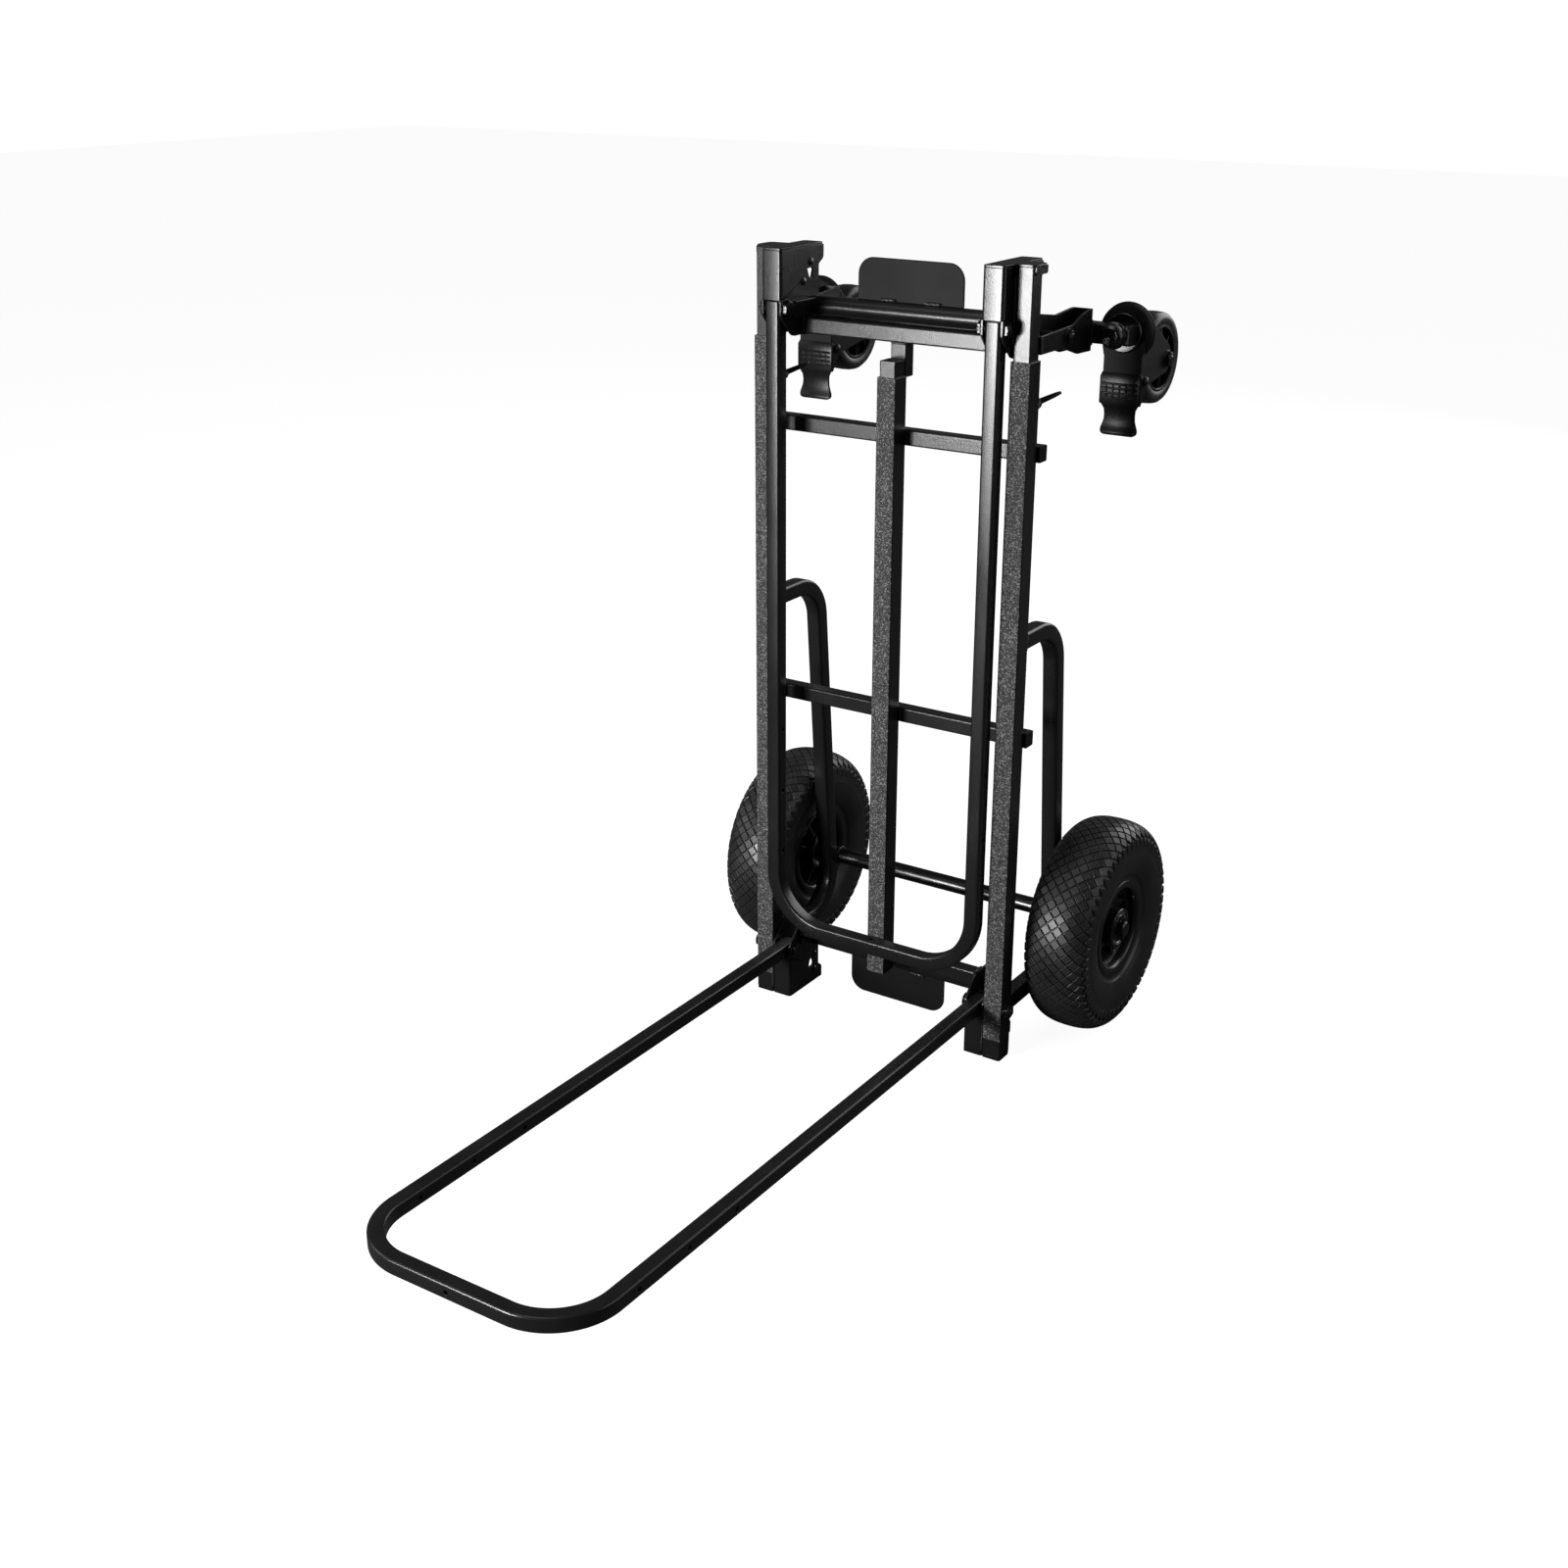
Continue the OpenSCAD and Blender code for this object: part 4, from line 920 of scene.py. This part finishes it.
def axle_pieces():
    """Axle bar with chamfered ends, hub spacers, end washers and split pins with their loops."""
    x0, x1, y0, y1, z0, z1 = box_mm("axle")
    y, z, radius = (y0 + y1) / 2, (z0 + z1) / 2, (z1 - z0) / 2
    form = Form()
    lathe(form, [(radius - 1.6, x0), (radius, x0 + 1.6), (radius, x1 - 1.6), (radius - 1.6, x1)],
          at(0, y, z), AXIS_X, 56)
    make("axle_bar", form, "lower_frame", BLACK_STEEL, 30, nodes=("axle",))
    rim_x0, rim_x1 = box_mm("right_rim")[:2]
    hub_mid, hub_half = (rim_x0 + rim_x1) / 2, 30.0
    form = Form()
    for _, sx in SIDES:
        way = AXIS_X * sx
        lathe(form, [(radius + 0.1, 0.4), (radius + 4.4, 0.4), (radius + 5, 1.0),
                     (radius + 5, 12.2), (radius + 4.4, 12.8),
                     (radius + 0.1, 12.8)], at(sx * 174, y, z), way, 48)
        lathe(form, [(radius + 0.1, 0), (radius + 6.6, 0), (radius + 7, 0.5), (radius + 7, 2.0),
                     (radius + 6.6, 2.5), (radius + 0.1, 2.5)],
              at(sx * (hub_mid + hub_half + 0.5), y, z), way, 48)
        pin = at(sx * (x1 - 5), y, z)
        for shift in (-0.85, 0.85):
            lathe(form, [(0.8, -radius - 5.5), (0.8, radius + 2.5)], pin + AXIS_X * shift * MM,
                  AXIS_Z, 12)
        loop = [pin + AXIS_Z * (radius + 4.0) * MM
                + (AXIS_X * math.cos(t) * 1.9 + AXIS_Z * math.sin(t) * 2.0) * MM
                for t in (math.pi * (-0.5 + 2 * i / 20) for i in range(20))]
        rings = []
        for i, point in enumerate(loop):
            way_on = (loop[(i + 1) % 20] - loop[i - 1]).normalized()
            out = way_on.cross(AXIS_Y)
            rings.append([point + (out * math.cos(a) + AXIS_Y * math.sin(a)) * 0.8 * MM
                          for a in (2 * math.pi * j / 10 for j in range(10))])
        form.rings(rings, closed=True)
    make("axle_washers_and_pins", form, "lower_frame", BLACK_STEEL, 32,
         nodes=("axle_retainers",))


pivot_bolts()
axle_pieces()


# ---------------------------------------------------------------- casters

CUP_FRONT = box_mm("right_caster_fork")[2]
BEAM_BOX = box_mm("caster_beam")
BEAM_Z = (BEAM_BOX[4] + BEAM_BOX[5]) / 2
WHEEL_BOX = box_mm("right_caster_wheel")
KINGPIN_X = (WHEEL_BOX[0] + WHEEL_BOX[1]) / 2
CASTER_Y = (WHEEL_BOX[2] + WHEEL_BOX[3]) / 2
CASTER_Z = (WHEEL_BOX[4] + WHEEL_BOX[5]) / 2
CASTER_R = (WHEEL_BOX[5] - WHEEL_BOX[4]) / 2
BRAKE_Y, BRAKE_Z = CUP_FRONT + 9, BEAM_Z - 53


def rounded_outline(corners, steps=5):
    """Flat outline from corners given as (a, b, radius)."""
    out = []
    count = len(corners)
    for i, (a, b, radius) in enumerate(corners):
        here = Vector((a, b))
        back = (Vector(corners[i - 1][:2]) - here).normalized()
        ahead = (Vector(corners[(i + 1) % count][:2]) - here).normalized()
        half = back.angle(ahead) / 2
        if radius <= 0:
            out.append((a, b))
            continue
        start = here + back * radius / math.tan(half)
        end = here + ahead * radius / math.tan(half)
        middle = here + (back + ahead).normalized() * radius / math.sin(half)
        for k in range(steps + 1):
            point = start.lerp(end, k / steps) - middle
            point = middle + point.normalized() * radius
            out.append((point.x, point.y))
    return out


def kingpin_piece():
    form = Form()
    for _, sx in SIDES:
        x = sx * KINGPIN_X
        lathe(form, [(3, -13.2), (9.2, -12.6), (12.2, -10.4), (13.4, -7.0), (13.6, -3.4),
                     (15.0, -2.6), (15.2, -1.6), (14.6, -0.2),
                     (3, 0)], at(x, BEAM_BOX[2], BEAM_Z), AXIS_Y, 48)
        lathe(form, [(6, 0), (20.6, 0), (21.4, 0.6), (22, 1.8), (21.4, 3.0), (20.6, 3.6), (6, 3.6)],
              at(x, BEAM_BOX[3], BEAM_Z), AXIS_Y, 56)
        lathe(form, [(5.9, 0), (5.9, 10)], at(x, BEAM_BOX[3], BEAM_Z), AXIS_Y, 32)
        lathe(form, [(4, 5.2), (9.4, 5.2), (10, 5.8), (10, 9.8), (8.6, 11), (3, 11)],
              at(x, CUP_FRONT, BEAM_Z), AXIS_Y, 40)
    make("kingpin_nuts", form, "upper_frame", BLACK_STEEL, 30,
         nodes=("kingpins",))


def caster_fork_piece(side, sx):
    """Pressed swivel cup with a rolled lip, a front skirt and two cheeks."""
    x = sx * KINGPIN_X
    form = Form()
    lathe(form, [(6.3, 0.1), (16, 0.1), (17.6, -0.6), (19.6, -0.6), (21, 0.2), (25.5, 0.6),
                 (29.4, 2.2), (31.3, 5.2), (31.7, 9.6), (32.3, 10.2), (32.5, 11.4),
                 (32.3, 12.8), (31.4, 13.8),
                 (29.6, 13.8), (28.6, 12.6), (28.2, 7.0), (26.4, 5.0), (22, 4.2), (6.3, 4.0)],
          at(x, CUP_FRONT, BEAM_Z), AXIS_Y, 72, capped=False)
    half, sheet = 22.5, 3.0
    cheek = rounded_outline([(CUP_FRONT + 0.2, BEAM_Z + 12, 3), (CUP_FRONT + 13, BEAM_Z + 19, 4),
                             (CASTER_Y + 9, CASTER_Z + 12, 11), (CASTER_Y + 6, CASTER_Z - 13.5, 11),
                             (BRAKE_Y + 12, BRAKE_Z - 7, 10),
                             (CUP_FRONT + 0.2, BRAKE_Z - 7.6, 5)], 7)
    for x_low in (x - half, x + half - sheet):
        slab(form, cheek, lambda a, b, h, x_low=x_low: at(x_low + h, a, b), sheet)
    skirt = rounded_outline([(-half, BEAM_Z - 16, 0), (half, BEAM_Z - 16, 0),
                             (half, BRAKE_Z + 6, 2.5), (-half, BRAKE_Z + 6, 2.5)], 4)
    slab(form, skirt, lambda a, b, h: at(x + a, CUP_FRONT - 0.4 + h, b), 3.2)
    flank = rounded_outline([(-half - 4, BEAM_Z - 8, 2), (half + 4, BEAM_Z - 8, 2),
                             (half, BEAM_Z - 30, 6), (-half, BEAM_Z - 30, 6)], 4)
    slab(form, flank, lambda a, b, h: at(x + a, CUP_FRONT - 0.1 + h, b), 3.0)
    make(side + "_fork_pressing", form, side + "_caster", MATT_COAT,
         30, 0.9, 3, nodes=(side + "_caster_fork",))
    form = Form()
    for way in (AXIS_X, -AXIS_X):
        place = at(x, CASTER_Y, CASTER_Z) + way * half * MM
        hex_bolt(form, place, way, 15, 5.5, 4.6, 6.4 if way.x > 0 else 5.5)
    lathe(form, [(4.9, -half - 0.5), (4.9, half + 0.5)], at(x, CASTER_Y, CASTER_Z), AXIS_X, 32)
    make(side + "_roller_bolt", form, side + "_caster", BLACK_STEEL, 32, 0.25,
         nodes=(side + "_caster_axle",))


def caster_wheel_piece(side, sx):
    """Moulded hub with ribs on both faces, and a smooth crowned tread round it."""
    centre = at(sx * KINGPIN_X, CASTER_Y, CASTER_Z)
    body = side + "_caster_roller"
    half = 16.0
    tread = []
    for face in (-1, 1):
        rows = [(CASTER_R - 15.5, 12.0), (CASTER_R - 14.5, 14.8), (CASTER_R - 12, 15.8),
                (CASTER_R - 7, half), (CASTER_R - 3.6, 15.2), (CASTER_R - 1.4, 12.6),
                (CASTER_R - 0.4, 8.0)]
        tread += [(r, face * h) for r, h in (rows if face < 0 else reversed(rows))]
        if face < 0:
            tread.append((CASTER_R, 0))
    form = Form()
    lathe(form, tread, centre, AXIS_X, 96, capped=False)
    make(side + "_roller_tread", form, body, CASTER, 40,
         nodes=(side + "_caster_wheel",))
    form = Form()
    rim_r = CASTER_R - 15.0
    profile = [(5.2, 18), (11.4, 18), (12.4, 17.0), (13.2, 9.0), (15, 8.0), (rim_r - 4.4, 8.0),
               (rim_r - 3.4, 9), (rim_r - 2.8, 14.6), (rim_r - 2.0, 15.4), (rim_r + 0.4, 15.2),
               (rim_r + 0.6, 12.2)]
    outline = [(r, -h) for r, h in profile] + [(r, h) for r, h in reversed(profile)]
    lathe(form, outline, centre, AXIS_X, 96, capped=False)
    for i in range(8):
        a = math.pi * i / 4
        way = AXIS_Y * math.cos(a) + AXIS_Z * math.sin(a)
        wide = -AXIS_Y * math.sin(a) + AXIS_Z * math.cos(a)
        for face in (-1, 1):
            rib = []
            for r, top in ((12.6, 15.5), (rim_r - 3.0, 13.2)):
                rib.append([centre + way * r * MM + wide * w * MM + AXIS_X * face * h * MM
                            for w, h in ((-1.2, 7.5), (1.2, 7.5), (1.0, top), (-1.0, top))])
            form.rings(rib)
    make(side + "_roller_hub", form, body, PLASTIC, 34)


def brake_piece(side, sx):
    """Brake lever: barrel on its pin, ribbed band, waist and a flared foot tread."""
    x = sx * KINGPIN_X
    form = Form()
    stations = [(802, -9.6, 23.6, 2.8), (798, -11.0, 24.6, 3.0), (790, -11.4, 24.8, 3.2),
                (780, -11.4, 24.8, 3.2), (769, -11.2, 24.6, 3.2), (765.5, -10.6, 22.0, 3.2),
                (761, -9.6, 19.4, 3.2), (755, -9.0, 18.8, 3.2), (749, -9.0, 19.2, 3.2),
                (744, -9.4, 20.8, 3.4), (740, -10.0, 22.2, 4.0), (736.4, -11.0, 22.2, 5.2),
                (734, -11.6, 21.0, 5.8), (732.4, -11.2, 18.0, 5.2)]
    drop = BRAKE_Z - 794
    rings = []
    for z, front, half, thick in stations:
        outline = rounded_rect(2 * half, thick, min(1.5, thick / 2 - 0.1), 4)
        rings.append([at(x + a, BRAKE_Y + front + thick / 2 + b, z + drop) for a, b in outline])
    form.rings(rings)
    pin = at(x, BRAKE_Y, BRAKE_Z)
    lathe(form, [(4.6, -19), (5.5, -18.2), (5.5, 18.2), (4.6, 19)], pin, AXIS_X, 36)
    for i in range(4):
        lathe(form, [(0.2, -22.4), (1.0, -21.6), (1.0, 21.6), (0.2, 22.4)],
              at(x, BRAKE_Y - 11.4, BRAKE_Z - 4 - 5.2 * i), AXIS_X, 14)
    for i in range(5):
        lathe(form, [(1.0, 0), (0.9, 15.4), (0.2, 16)],
              at(x - 16 + 8 * i, BRAKE_Y - 11.2, BRAKE_Z - 19.8), AXIS_Z, 12)
    flank = rounded_outline([(BRAKE_Y - 10.6, BRAKE_Z + 5, 2), (BRAKE_Y + 5, BRAKE_Z + 6, 5),
                             (BRAKE_Y + 6, BRAKE_Z - 7, 6), (BRAKE_Y - 8, BRAKE_Z - 27, 2),
                             (BRAKE_Y - 10.6, BRAKE_Z - 27, 1)], 4)
    for edge in (-1, 1):
        slab(form, flank, lambda a, b, h, edge=edge: at(x + edge * 23.9 - 0.9 + h, a, b), 1.8)
    lathe(form, [(2.9, -25), (2.9, 25)], pin, AXIS_X, 24)
    for way in (AXIS_X, -AXIS_X):
        lathe(form, [(5.4, 24.6), (5.8, 25.2), (5.0, 27.0), (3.0, 28.2), (0.2, 28.6)],
              pin, way, 28)
    make(side + "_brake_lever", form, side + "_brake", PLASTIC, 34,
         nodes=(side + "_brake_pedal",))


kingpin_piece()
for side_name, sign in SIDES:
    caster_fork_piece(side_name, sign)
    caster_wheel_piece(side_name, sign)
    brake_piece(side_name, sign)


# ---------------------------------------------------------------- latches and wing bolts

def latch_pedal_piece(level, body, flip):
    """Sheet pedal with round upper corners, and the two welds at its foot."""
    x0, x1, y0, y1, z0, z1 = box_mm(level + "_latch_pedal")
    near, far = (z0, z1) if flip > 0 else (z1, z0)
    form = Form()
    outline = rounded_outline([(x0, near, 1), (x1, near, 1), (x1, far, 19), (x0, far, 19)], 10)
    slab(form, outline, lambda a, b, h: at(a, y0 + h, b), y1 - y0)
    make(level + "_pedal_plate", form, body, MATT_COAT, 32, 0.9, 3,
         nodes=(level + "_latch_pedal",))
    beads = Form()
    foot = near + flip * 1.6
    for face in (y0 - 1.0, y1 + 1.0):
        for x in (-38, 20):
            weld(beads, [at(x, face, foot), at(x + 20, face, foot)], 2.0)
    make(level + "_pedal_welds", beads, body, WELD_COAT_PAINTED_HIGHLIGHT, 60)


def wing_bolt_piece(side):
    """Moulded boss with two swept wings on a clamp screw."""
    x0, x1, y0, y1, z0, z1 = box_mm(side + "_clamp_bolt")
    x, z = (x0 + x1) / 2, (z0 + z1) / 2
    form = Form()
    lathe(form, [(3.9, y0 - 34), (3.9, 2)], at(x, 34, z), AXIS_Y, 28)
    lathe(form, [(6.0, 0), (7.0, 0.8), (7.0, 6), (6.2, 9.6), (4.6, 11.2), (1.5, 11.8)],
          at(x, 34, z), AXIS_Y, 40)
    turned = Matrix.Rotation(math.radians(60), 3, "Y")
    for up in (-1, 1):
        rings = []
        for k in range(11):
            t = k / 10
            y, lift = 40 + 27 * t, 1 + 17.5 * t ** 0.85
            wide = 5.2 + 2.6 * math.sin(math.pi * min(1, t * 0.75)) - (3.4 * t ** 6)
            thick = 7.0 - 2.4 * t - (1.2 * t ** 8)
            way = Vector((0, 27, 15)).normalized()
            across = Vector((0, -way.z, way.y))
            ring = []
            for i in range(16):
                a = 2 * math.pi * i / 16
                place = Vector((0, 0, lift)) + across * wide / 1.7 * math.cos(a) \
                    + AXIS_X * thick / 2 * math.sin(a)
                place = turned @ Vector((place.x, 0, up * place.z)) + Vector((0, y + place.y, 0))
                ring.append(at(x + place.x, min(place.y, y1), z + place.z))
            rings.append(ring)
        form.rings(rings)
    make(side + "_wing_bolt", form, side + "_clamp", PLASTIC, 34,
         nodes=(side + "_clamp_bolt",))


latch_pedal_piece("upper", "upper_latch", 1)
latch_pedal_piece("lower", "lower_latch", -1)
for side_name, _ in SIDES:
    wing_bolt_piece(side_name)


# ---------------------------------------------------------------- brackets

HEAD_TOP = box_mm("right_slide_rail")[5]
BRACKET_HEIGHT = 96.0


def bracket_piece(side, sx, level):
    """Bent sheet channel for one leg: front plate with soft folds and two side plates."""
    node_name = f"{side}_{level}_bracket"
    y0, z1 = box_mm(node_name)[2], box_mm(node_name)[5]
    head = level == "head"
    base, up = (HEAD_TOP, -1) if head else (0.0, 1)
    back, ear = (y0 + 78, 10) if head else (y0 + 67, 8)
    stop = NOSE_Z - HANDLE_TUBE / 2 - 0.4
    inner, outer, sheet = BRACKET_IN, BRACKET_OUT, 2.5
    form = Form()
    flank = rounded_outline([(y0 + 3.4, 0.1, 0), (back + ear, 0.1, 0), (back + ear, 15, 5),
                             (back, 21, 3), (back, BRACKET_HEIGHT, 8),
                             (y0 + 24, BRACKET_HEIGHT, 14), (y0 + 4, BRACKET_HEIGHT - 20, 14),
                             (y0, BRACKET_HEIGHT - 26, 3), (y0, stop, 0), (y0 + 3.4, stop, 0)], 6)

    def oval(way):
        return 5.0 + 3.6 * abs(math.cos(way - math.radians(60))) ** 1.5

    for x in (inner, outer - sheet):
        holed_slab(form, flank, (back - 17, 27.5), oval,
                   lambda a, b, h, x=x: at(sx * (x + h), a, base + up * b), sheet)
    middle, half, fold = (inner + outer) / 2, (outer - inner) / 2, 3.6
    bend = []
    for turn in range(9):
        a = math.pi / 2 * turn / 8
        bend.append((half - fold + fold * math.sin(a), fold - fold * math.cos(a)))
    face = [(-u, v) for u, v in reversed(bend)] + bend
    core = [(u * (half - sheet) / half, max(v, sheet)) for u, v in face]
    ring = face + list(reversed(core))
    form.rings([[at(sx * (middle + u), y0 + v, base + up * rise) for u, v in ring]
                for rise in (0.3, 1.2, stop - 20, stop)])
    if head:
        cap = rounded_outline([(inner, y0 + 0.2, 3.4), (outer, y0 + 0.2, 3.4), (outer, 3, 1.5),
                               (RAIL_OUT - 0.2, 4, 5), (RAIL_OUT - 0.2, 33, 7), (outer, 35, 2),
                               (outer, back + ear, 4), (inner, back + ear, 4)], 6)
        slab(form, cap, lambda a, b, h: at(sx * a, b, base - 0.05 + h), z1 - base)
        lip = rounded_outline([(5, base + 1, 1), (32, base + 1, 1), (32, base - 8, 3),
                               (5, base - 8, 3)], 4)
        slab(form, lip, lambda a, b, h: at(sx * (RAIL_OUT - 1.9 + h), a, b), 1.7)
    make(f"{side}_{level}_pressing", form, "upper_frame" if head else "lower_frame",
         COAT, 30, 0.7, 3, nodes=(node_name,))


for side_name, sign in SIDES:
    bracket_piece(side_name, sign, "head")
    bracket_piece(side_name, sign, "foot")


# ---------------------------------------------------------------- rivets and welds

def bracket_rivets():
    """Rivet and bolt heads on both faces of each head bracket, and on the inner face of each foot bracket."""
    upper, lower = Form(), Form()
    for _, sx in SIDES:
        for face, way in ((BRACKET_IN, -AXIS_X * sx), (BRACKET_OUT, AXIS_X * sx)):
            for y, z, r in ((41, 915, 4.6), (26, 894.5, 4.6)):
                if face == BRACKET_OUT and y < 36:
                    continue
                dome(upper, at(sx * face, y, z), way, r, 2.6)
            if face == BRACKET_IN:
                dome(lower, at(sx * face, 58, 16), way, 4.2, 2.4)
                dome(lower, at(sx * face, 58, 38), way, 4.2, 2.4)
    make("head_rivets", upper, "upper_frame", BLACK_STEEL, 40)
    make("foot_rivets", lower, "lower_frame", BLACK_STEEL, 40)


def loop_points(place, half_a, half_b, steps=3):
    """Closed path round a rectangle. place turns (a, b) into a point."""
    corners = [(-half_a, -half_b), (half_a, -half_b), (half_a, half_b), (-half_a, half_b),
               (-half_a, -half_b)]
    out = []
    for (a0, b0), (a1, b1) in zip(corners, corners[1:]):
        for k in range(steps):
            out.append(place(a0 + (a1 - a0) * k / steps, b0 + (b1 - b0) * k / steps))
    out.append(place(*corners[-1]))
    return out


def frame_welds():
    """Beads on both frames: the bars' ends, the hoops and axle, and the brackets' seams."""
    low, high = Form(), Form()
    bars = box_mm("back_crossbars")
    bar_half = (bars[3] - bars[2]) / 2
    rail_inner = box_mm("right_rail")[0]
    for z in (bars[4] + bar_half, bars[5] - bar_half):
        for edge in (-rail_inner, rail_inner, -12.0, 12.0):
            lean = -1 if edge in (-rail_inner, 12.0) else 1
            x = edge - lean * 0.9
            weld(low, [at(x, 25.9, z - bar_half + 1), at(x, 25.9, z + bar_half - 1)], 1.9)
        for sx in (-1, 1):
            for zz in (z - bar_half, z + bar_half):
                weld(low, [at(sx * 154, 25.9, zz), at(sx * 174, 25.9, zz)], 1.7)
    for node_name, form in (("bottom_crossbar", low), ("top_crossbar", high)):
        x0, x1, y0, y1, z0, z1 = box_mm(node_name)
        for x in (x0 + 1.0, x1 - 1.0):
            weld(form, loop_points(lambda a, b, x=x: at(x, (y0 + y1) / 2 + a, (z0 + z1) / 2 + b),
                                   (y1 - y0) / 2, (z1 - z0) / 2), 1.9)
    axle_box = box_mm("axle")
    axle_y, axle_z = (axle_box[2] + axle_box[3]) / 2, (axle_box[4] + axle_box[5]) / 2
    for side, sx in SIDES:
        x0, x1, y0, y1, z0, z1 = box_mm(side + "_axle_hoop")
        for z in (z1 - 10, z0 + 10):
            weld(low, loop_points(lambda a, b, z=z: at((x0 + x1) / 2 + a, y0 + 0.9, z + b),
                                  9.6, 9.6), 1.9)
        for x in (x0 - 0.6, x1 + 0.2):
            if abs(x) > 170:    # the wheel's side of the hoop carries a spacer, not a weld
                continue
            ring = [at(x, axle_y + 10.6 * math.cos(t), axle_z + 10.6 * math.sin(t))
                    for t in (2 * math.pi * i / 24 for i in range(25))]
            weld(low, ring, 1.9)
        # Thick seam between a head bracket and its sliding rail
        weld(high, [at(sx * 153, y, z) for y, z in ((3.4, 850), (3.2, 884), (3.6, 921))],
             2.3, 3.4)
        weld(high, [at(sx * 153, 21.6, 850), at(sx * 153, 21.6, 921)], 2.1, 2.6)
        weld(low, [at(sx * 151.6, -0.3, 8), at(sx * 151.6, -0.3, 50)], 1.3)
        weld(low, [at(sx * 151, 25.4, 12), at(sx * 151, 25.4, 90)], 1.6)
        for x in (sx * 151.6, sx * 176.2):
            weld(high, [at(x, 145.6, 834), at(x, 145.6, 862)], 1.7)
            weld(high, [at(x - sx * 0.6, 24.0, 842), at(x - sx * 0.6, 24.0, 858)], 1.6)
        weld(high, [at(sx * x, 145.4, BEAM_BOX[5] + 0.6) for x in (155, 173)], 1.8)
        weld(high, [at(sx * 127, -16, 931.4), at(sx * 127, 50, 931.4)], 1.1)
    link = box_mm("centre_link")
    weld(high, [at(-10, 26.2, link[5] - 0.6), at(10, 26.2, link[5] - 0.6)], 1.6)
    weld(high, [at(-8, 24.6, 806.5), at(8, 24.6, 806.5)], 1.6)
    weld(low, [at(-11.6, 25.6, 84), at(11.6, 25.6, 84)], 1.6)
    make("lower_welds", low, "lower_frame", WELD_COAT_PAINTED_HIGHLIGHT, 60)
    make("upper_welds", high, "upper_frame", WELD_COAT_PAINTED_HIGHLIGHT, 60)


bracket_rivets()
frame_welds()


# ---------------------------------------------------------------- stage

def area_light(name, place, target, size, power):
    """Square soft light that looks at a target."""
    data = bpy.data.lights.new(name, "AREA")
    data.energy, data.size = power, size
    lamp = place_in_scene(name, data)
    lamp.location = place
    lamp.rotation_mode = "QUATERNION"
    lamp.rotation_quaternion = (Vector(target) - Vector(place)).to_track_quat("-Z", "Y")


def build_stage():
    """Pale floor, even white surround, a soft key light from the front left and weak fills."""
    mesh = bpy.data.meshes.new("floor")
    reach = 14.0
    mesh.from_pydata([(-reach, -reach, 0), (reach, -reach, 0),
                      (reach, reach, 0), (-reach, reach, 0)], [], [(0, 1, 2, 3)])
    floor = place_in_scene("floor", mesh)
    floor.location.z = CAD_BOX[0][2] - 0.0005
    material, tree, shader = blank_material("pale_floor")
    seen = node(tree, "LightPath").outputs["Is Camera Ray"]
    tree.links.new(blend_colour(tree, seen, (0.10, 0.10, 0.10, 1), (0.30, 0.30, 0.30, 1)),
                   shader.inputs["Base Color"])
    shader.inputs["Emission Color"].default_value = (1, 1, 1, 1)
    tree.links.new(maths(tree, "MULTIPLY", seen, 0.94), shader.inputs["Emission Strength"])
    shader.inputs["Roughness"].default_value = 0.9
    shader.inputs["Specular IOR Level"].default_value = 0.0
    mesh.materials.append(material)
    world = bpy.data.worlds.new("studio")
    bpy.context.scene.world = world
    world.use_nodes = True
    sky = world.node_tree
    sky.nodes.clear()
    view_ray = sky.nodes.new("ShaderNodeLightPath")
    dim, bright = sky.nodes.new("ShaderNodeBackground"), sky.nodes.new("ShaderNodeBackground")
    dim.inputs[0].default_value, dim.inputs[1].default_value = (1, 1, 1, 1), 0.07
    bright.inputs[0].default_value, bright.inputs[1].default_value = (1, 1, 1, 1), 1.05
    mix, out = sky.nodes.new("ShaderNodeMixShader"), sky.nodes.new("ShaderNodeOutputWorld")
    sky.links.new(view_ray.outputs["Is Camera Ray"], mix.inputs[0])
    sky.links.new(dim.outputs[0], mix.inputs[1])
    sky.links.new(bright.outputs[0], mix.inputs[2])
    sky.links.new(mix.outputs[0], out.inputs[0])
    area_light("front_left", at(-900, -2620, 620), at(0, 0, 760), 0.72, 80)
    area_light("left_fill", (-3.0, -1.5, 1.7), (0, 0, 0.5), 1.4, 16)
    area_light("overhead", (-0.6, -1.2, 3.6), (0, 0.2, 0.4), 1.8, 16)
    area_light("rear_fill", (0.9, 3.4, 1.9), (0, 0.2, 0.5), 2.6, 55)
    area_light("right_fill", (3.2, 1.3, 1.5), (0, 0.2, 0.5), 2.6, 20)


def build_camera():
    """Camera at standing height, to the right of the load's side."""
    data = bpy.data.cameras.new("camera")
    data.sensor_width = 36.0
    data.lens = 45.58
    camera = place_in_scene("camera", data)
    camera.location = at(1125.5, -1892.3, 1189.6)
    camera.rotation_euler = (math.radians(68.45), 0, math.radians(33.67))
    bpy.context.scene.camera = camera


build_stage()
build_camera()
bpy.context.scene.view_settings.view_transform = "Standard"
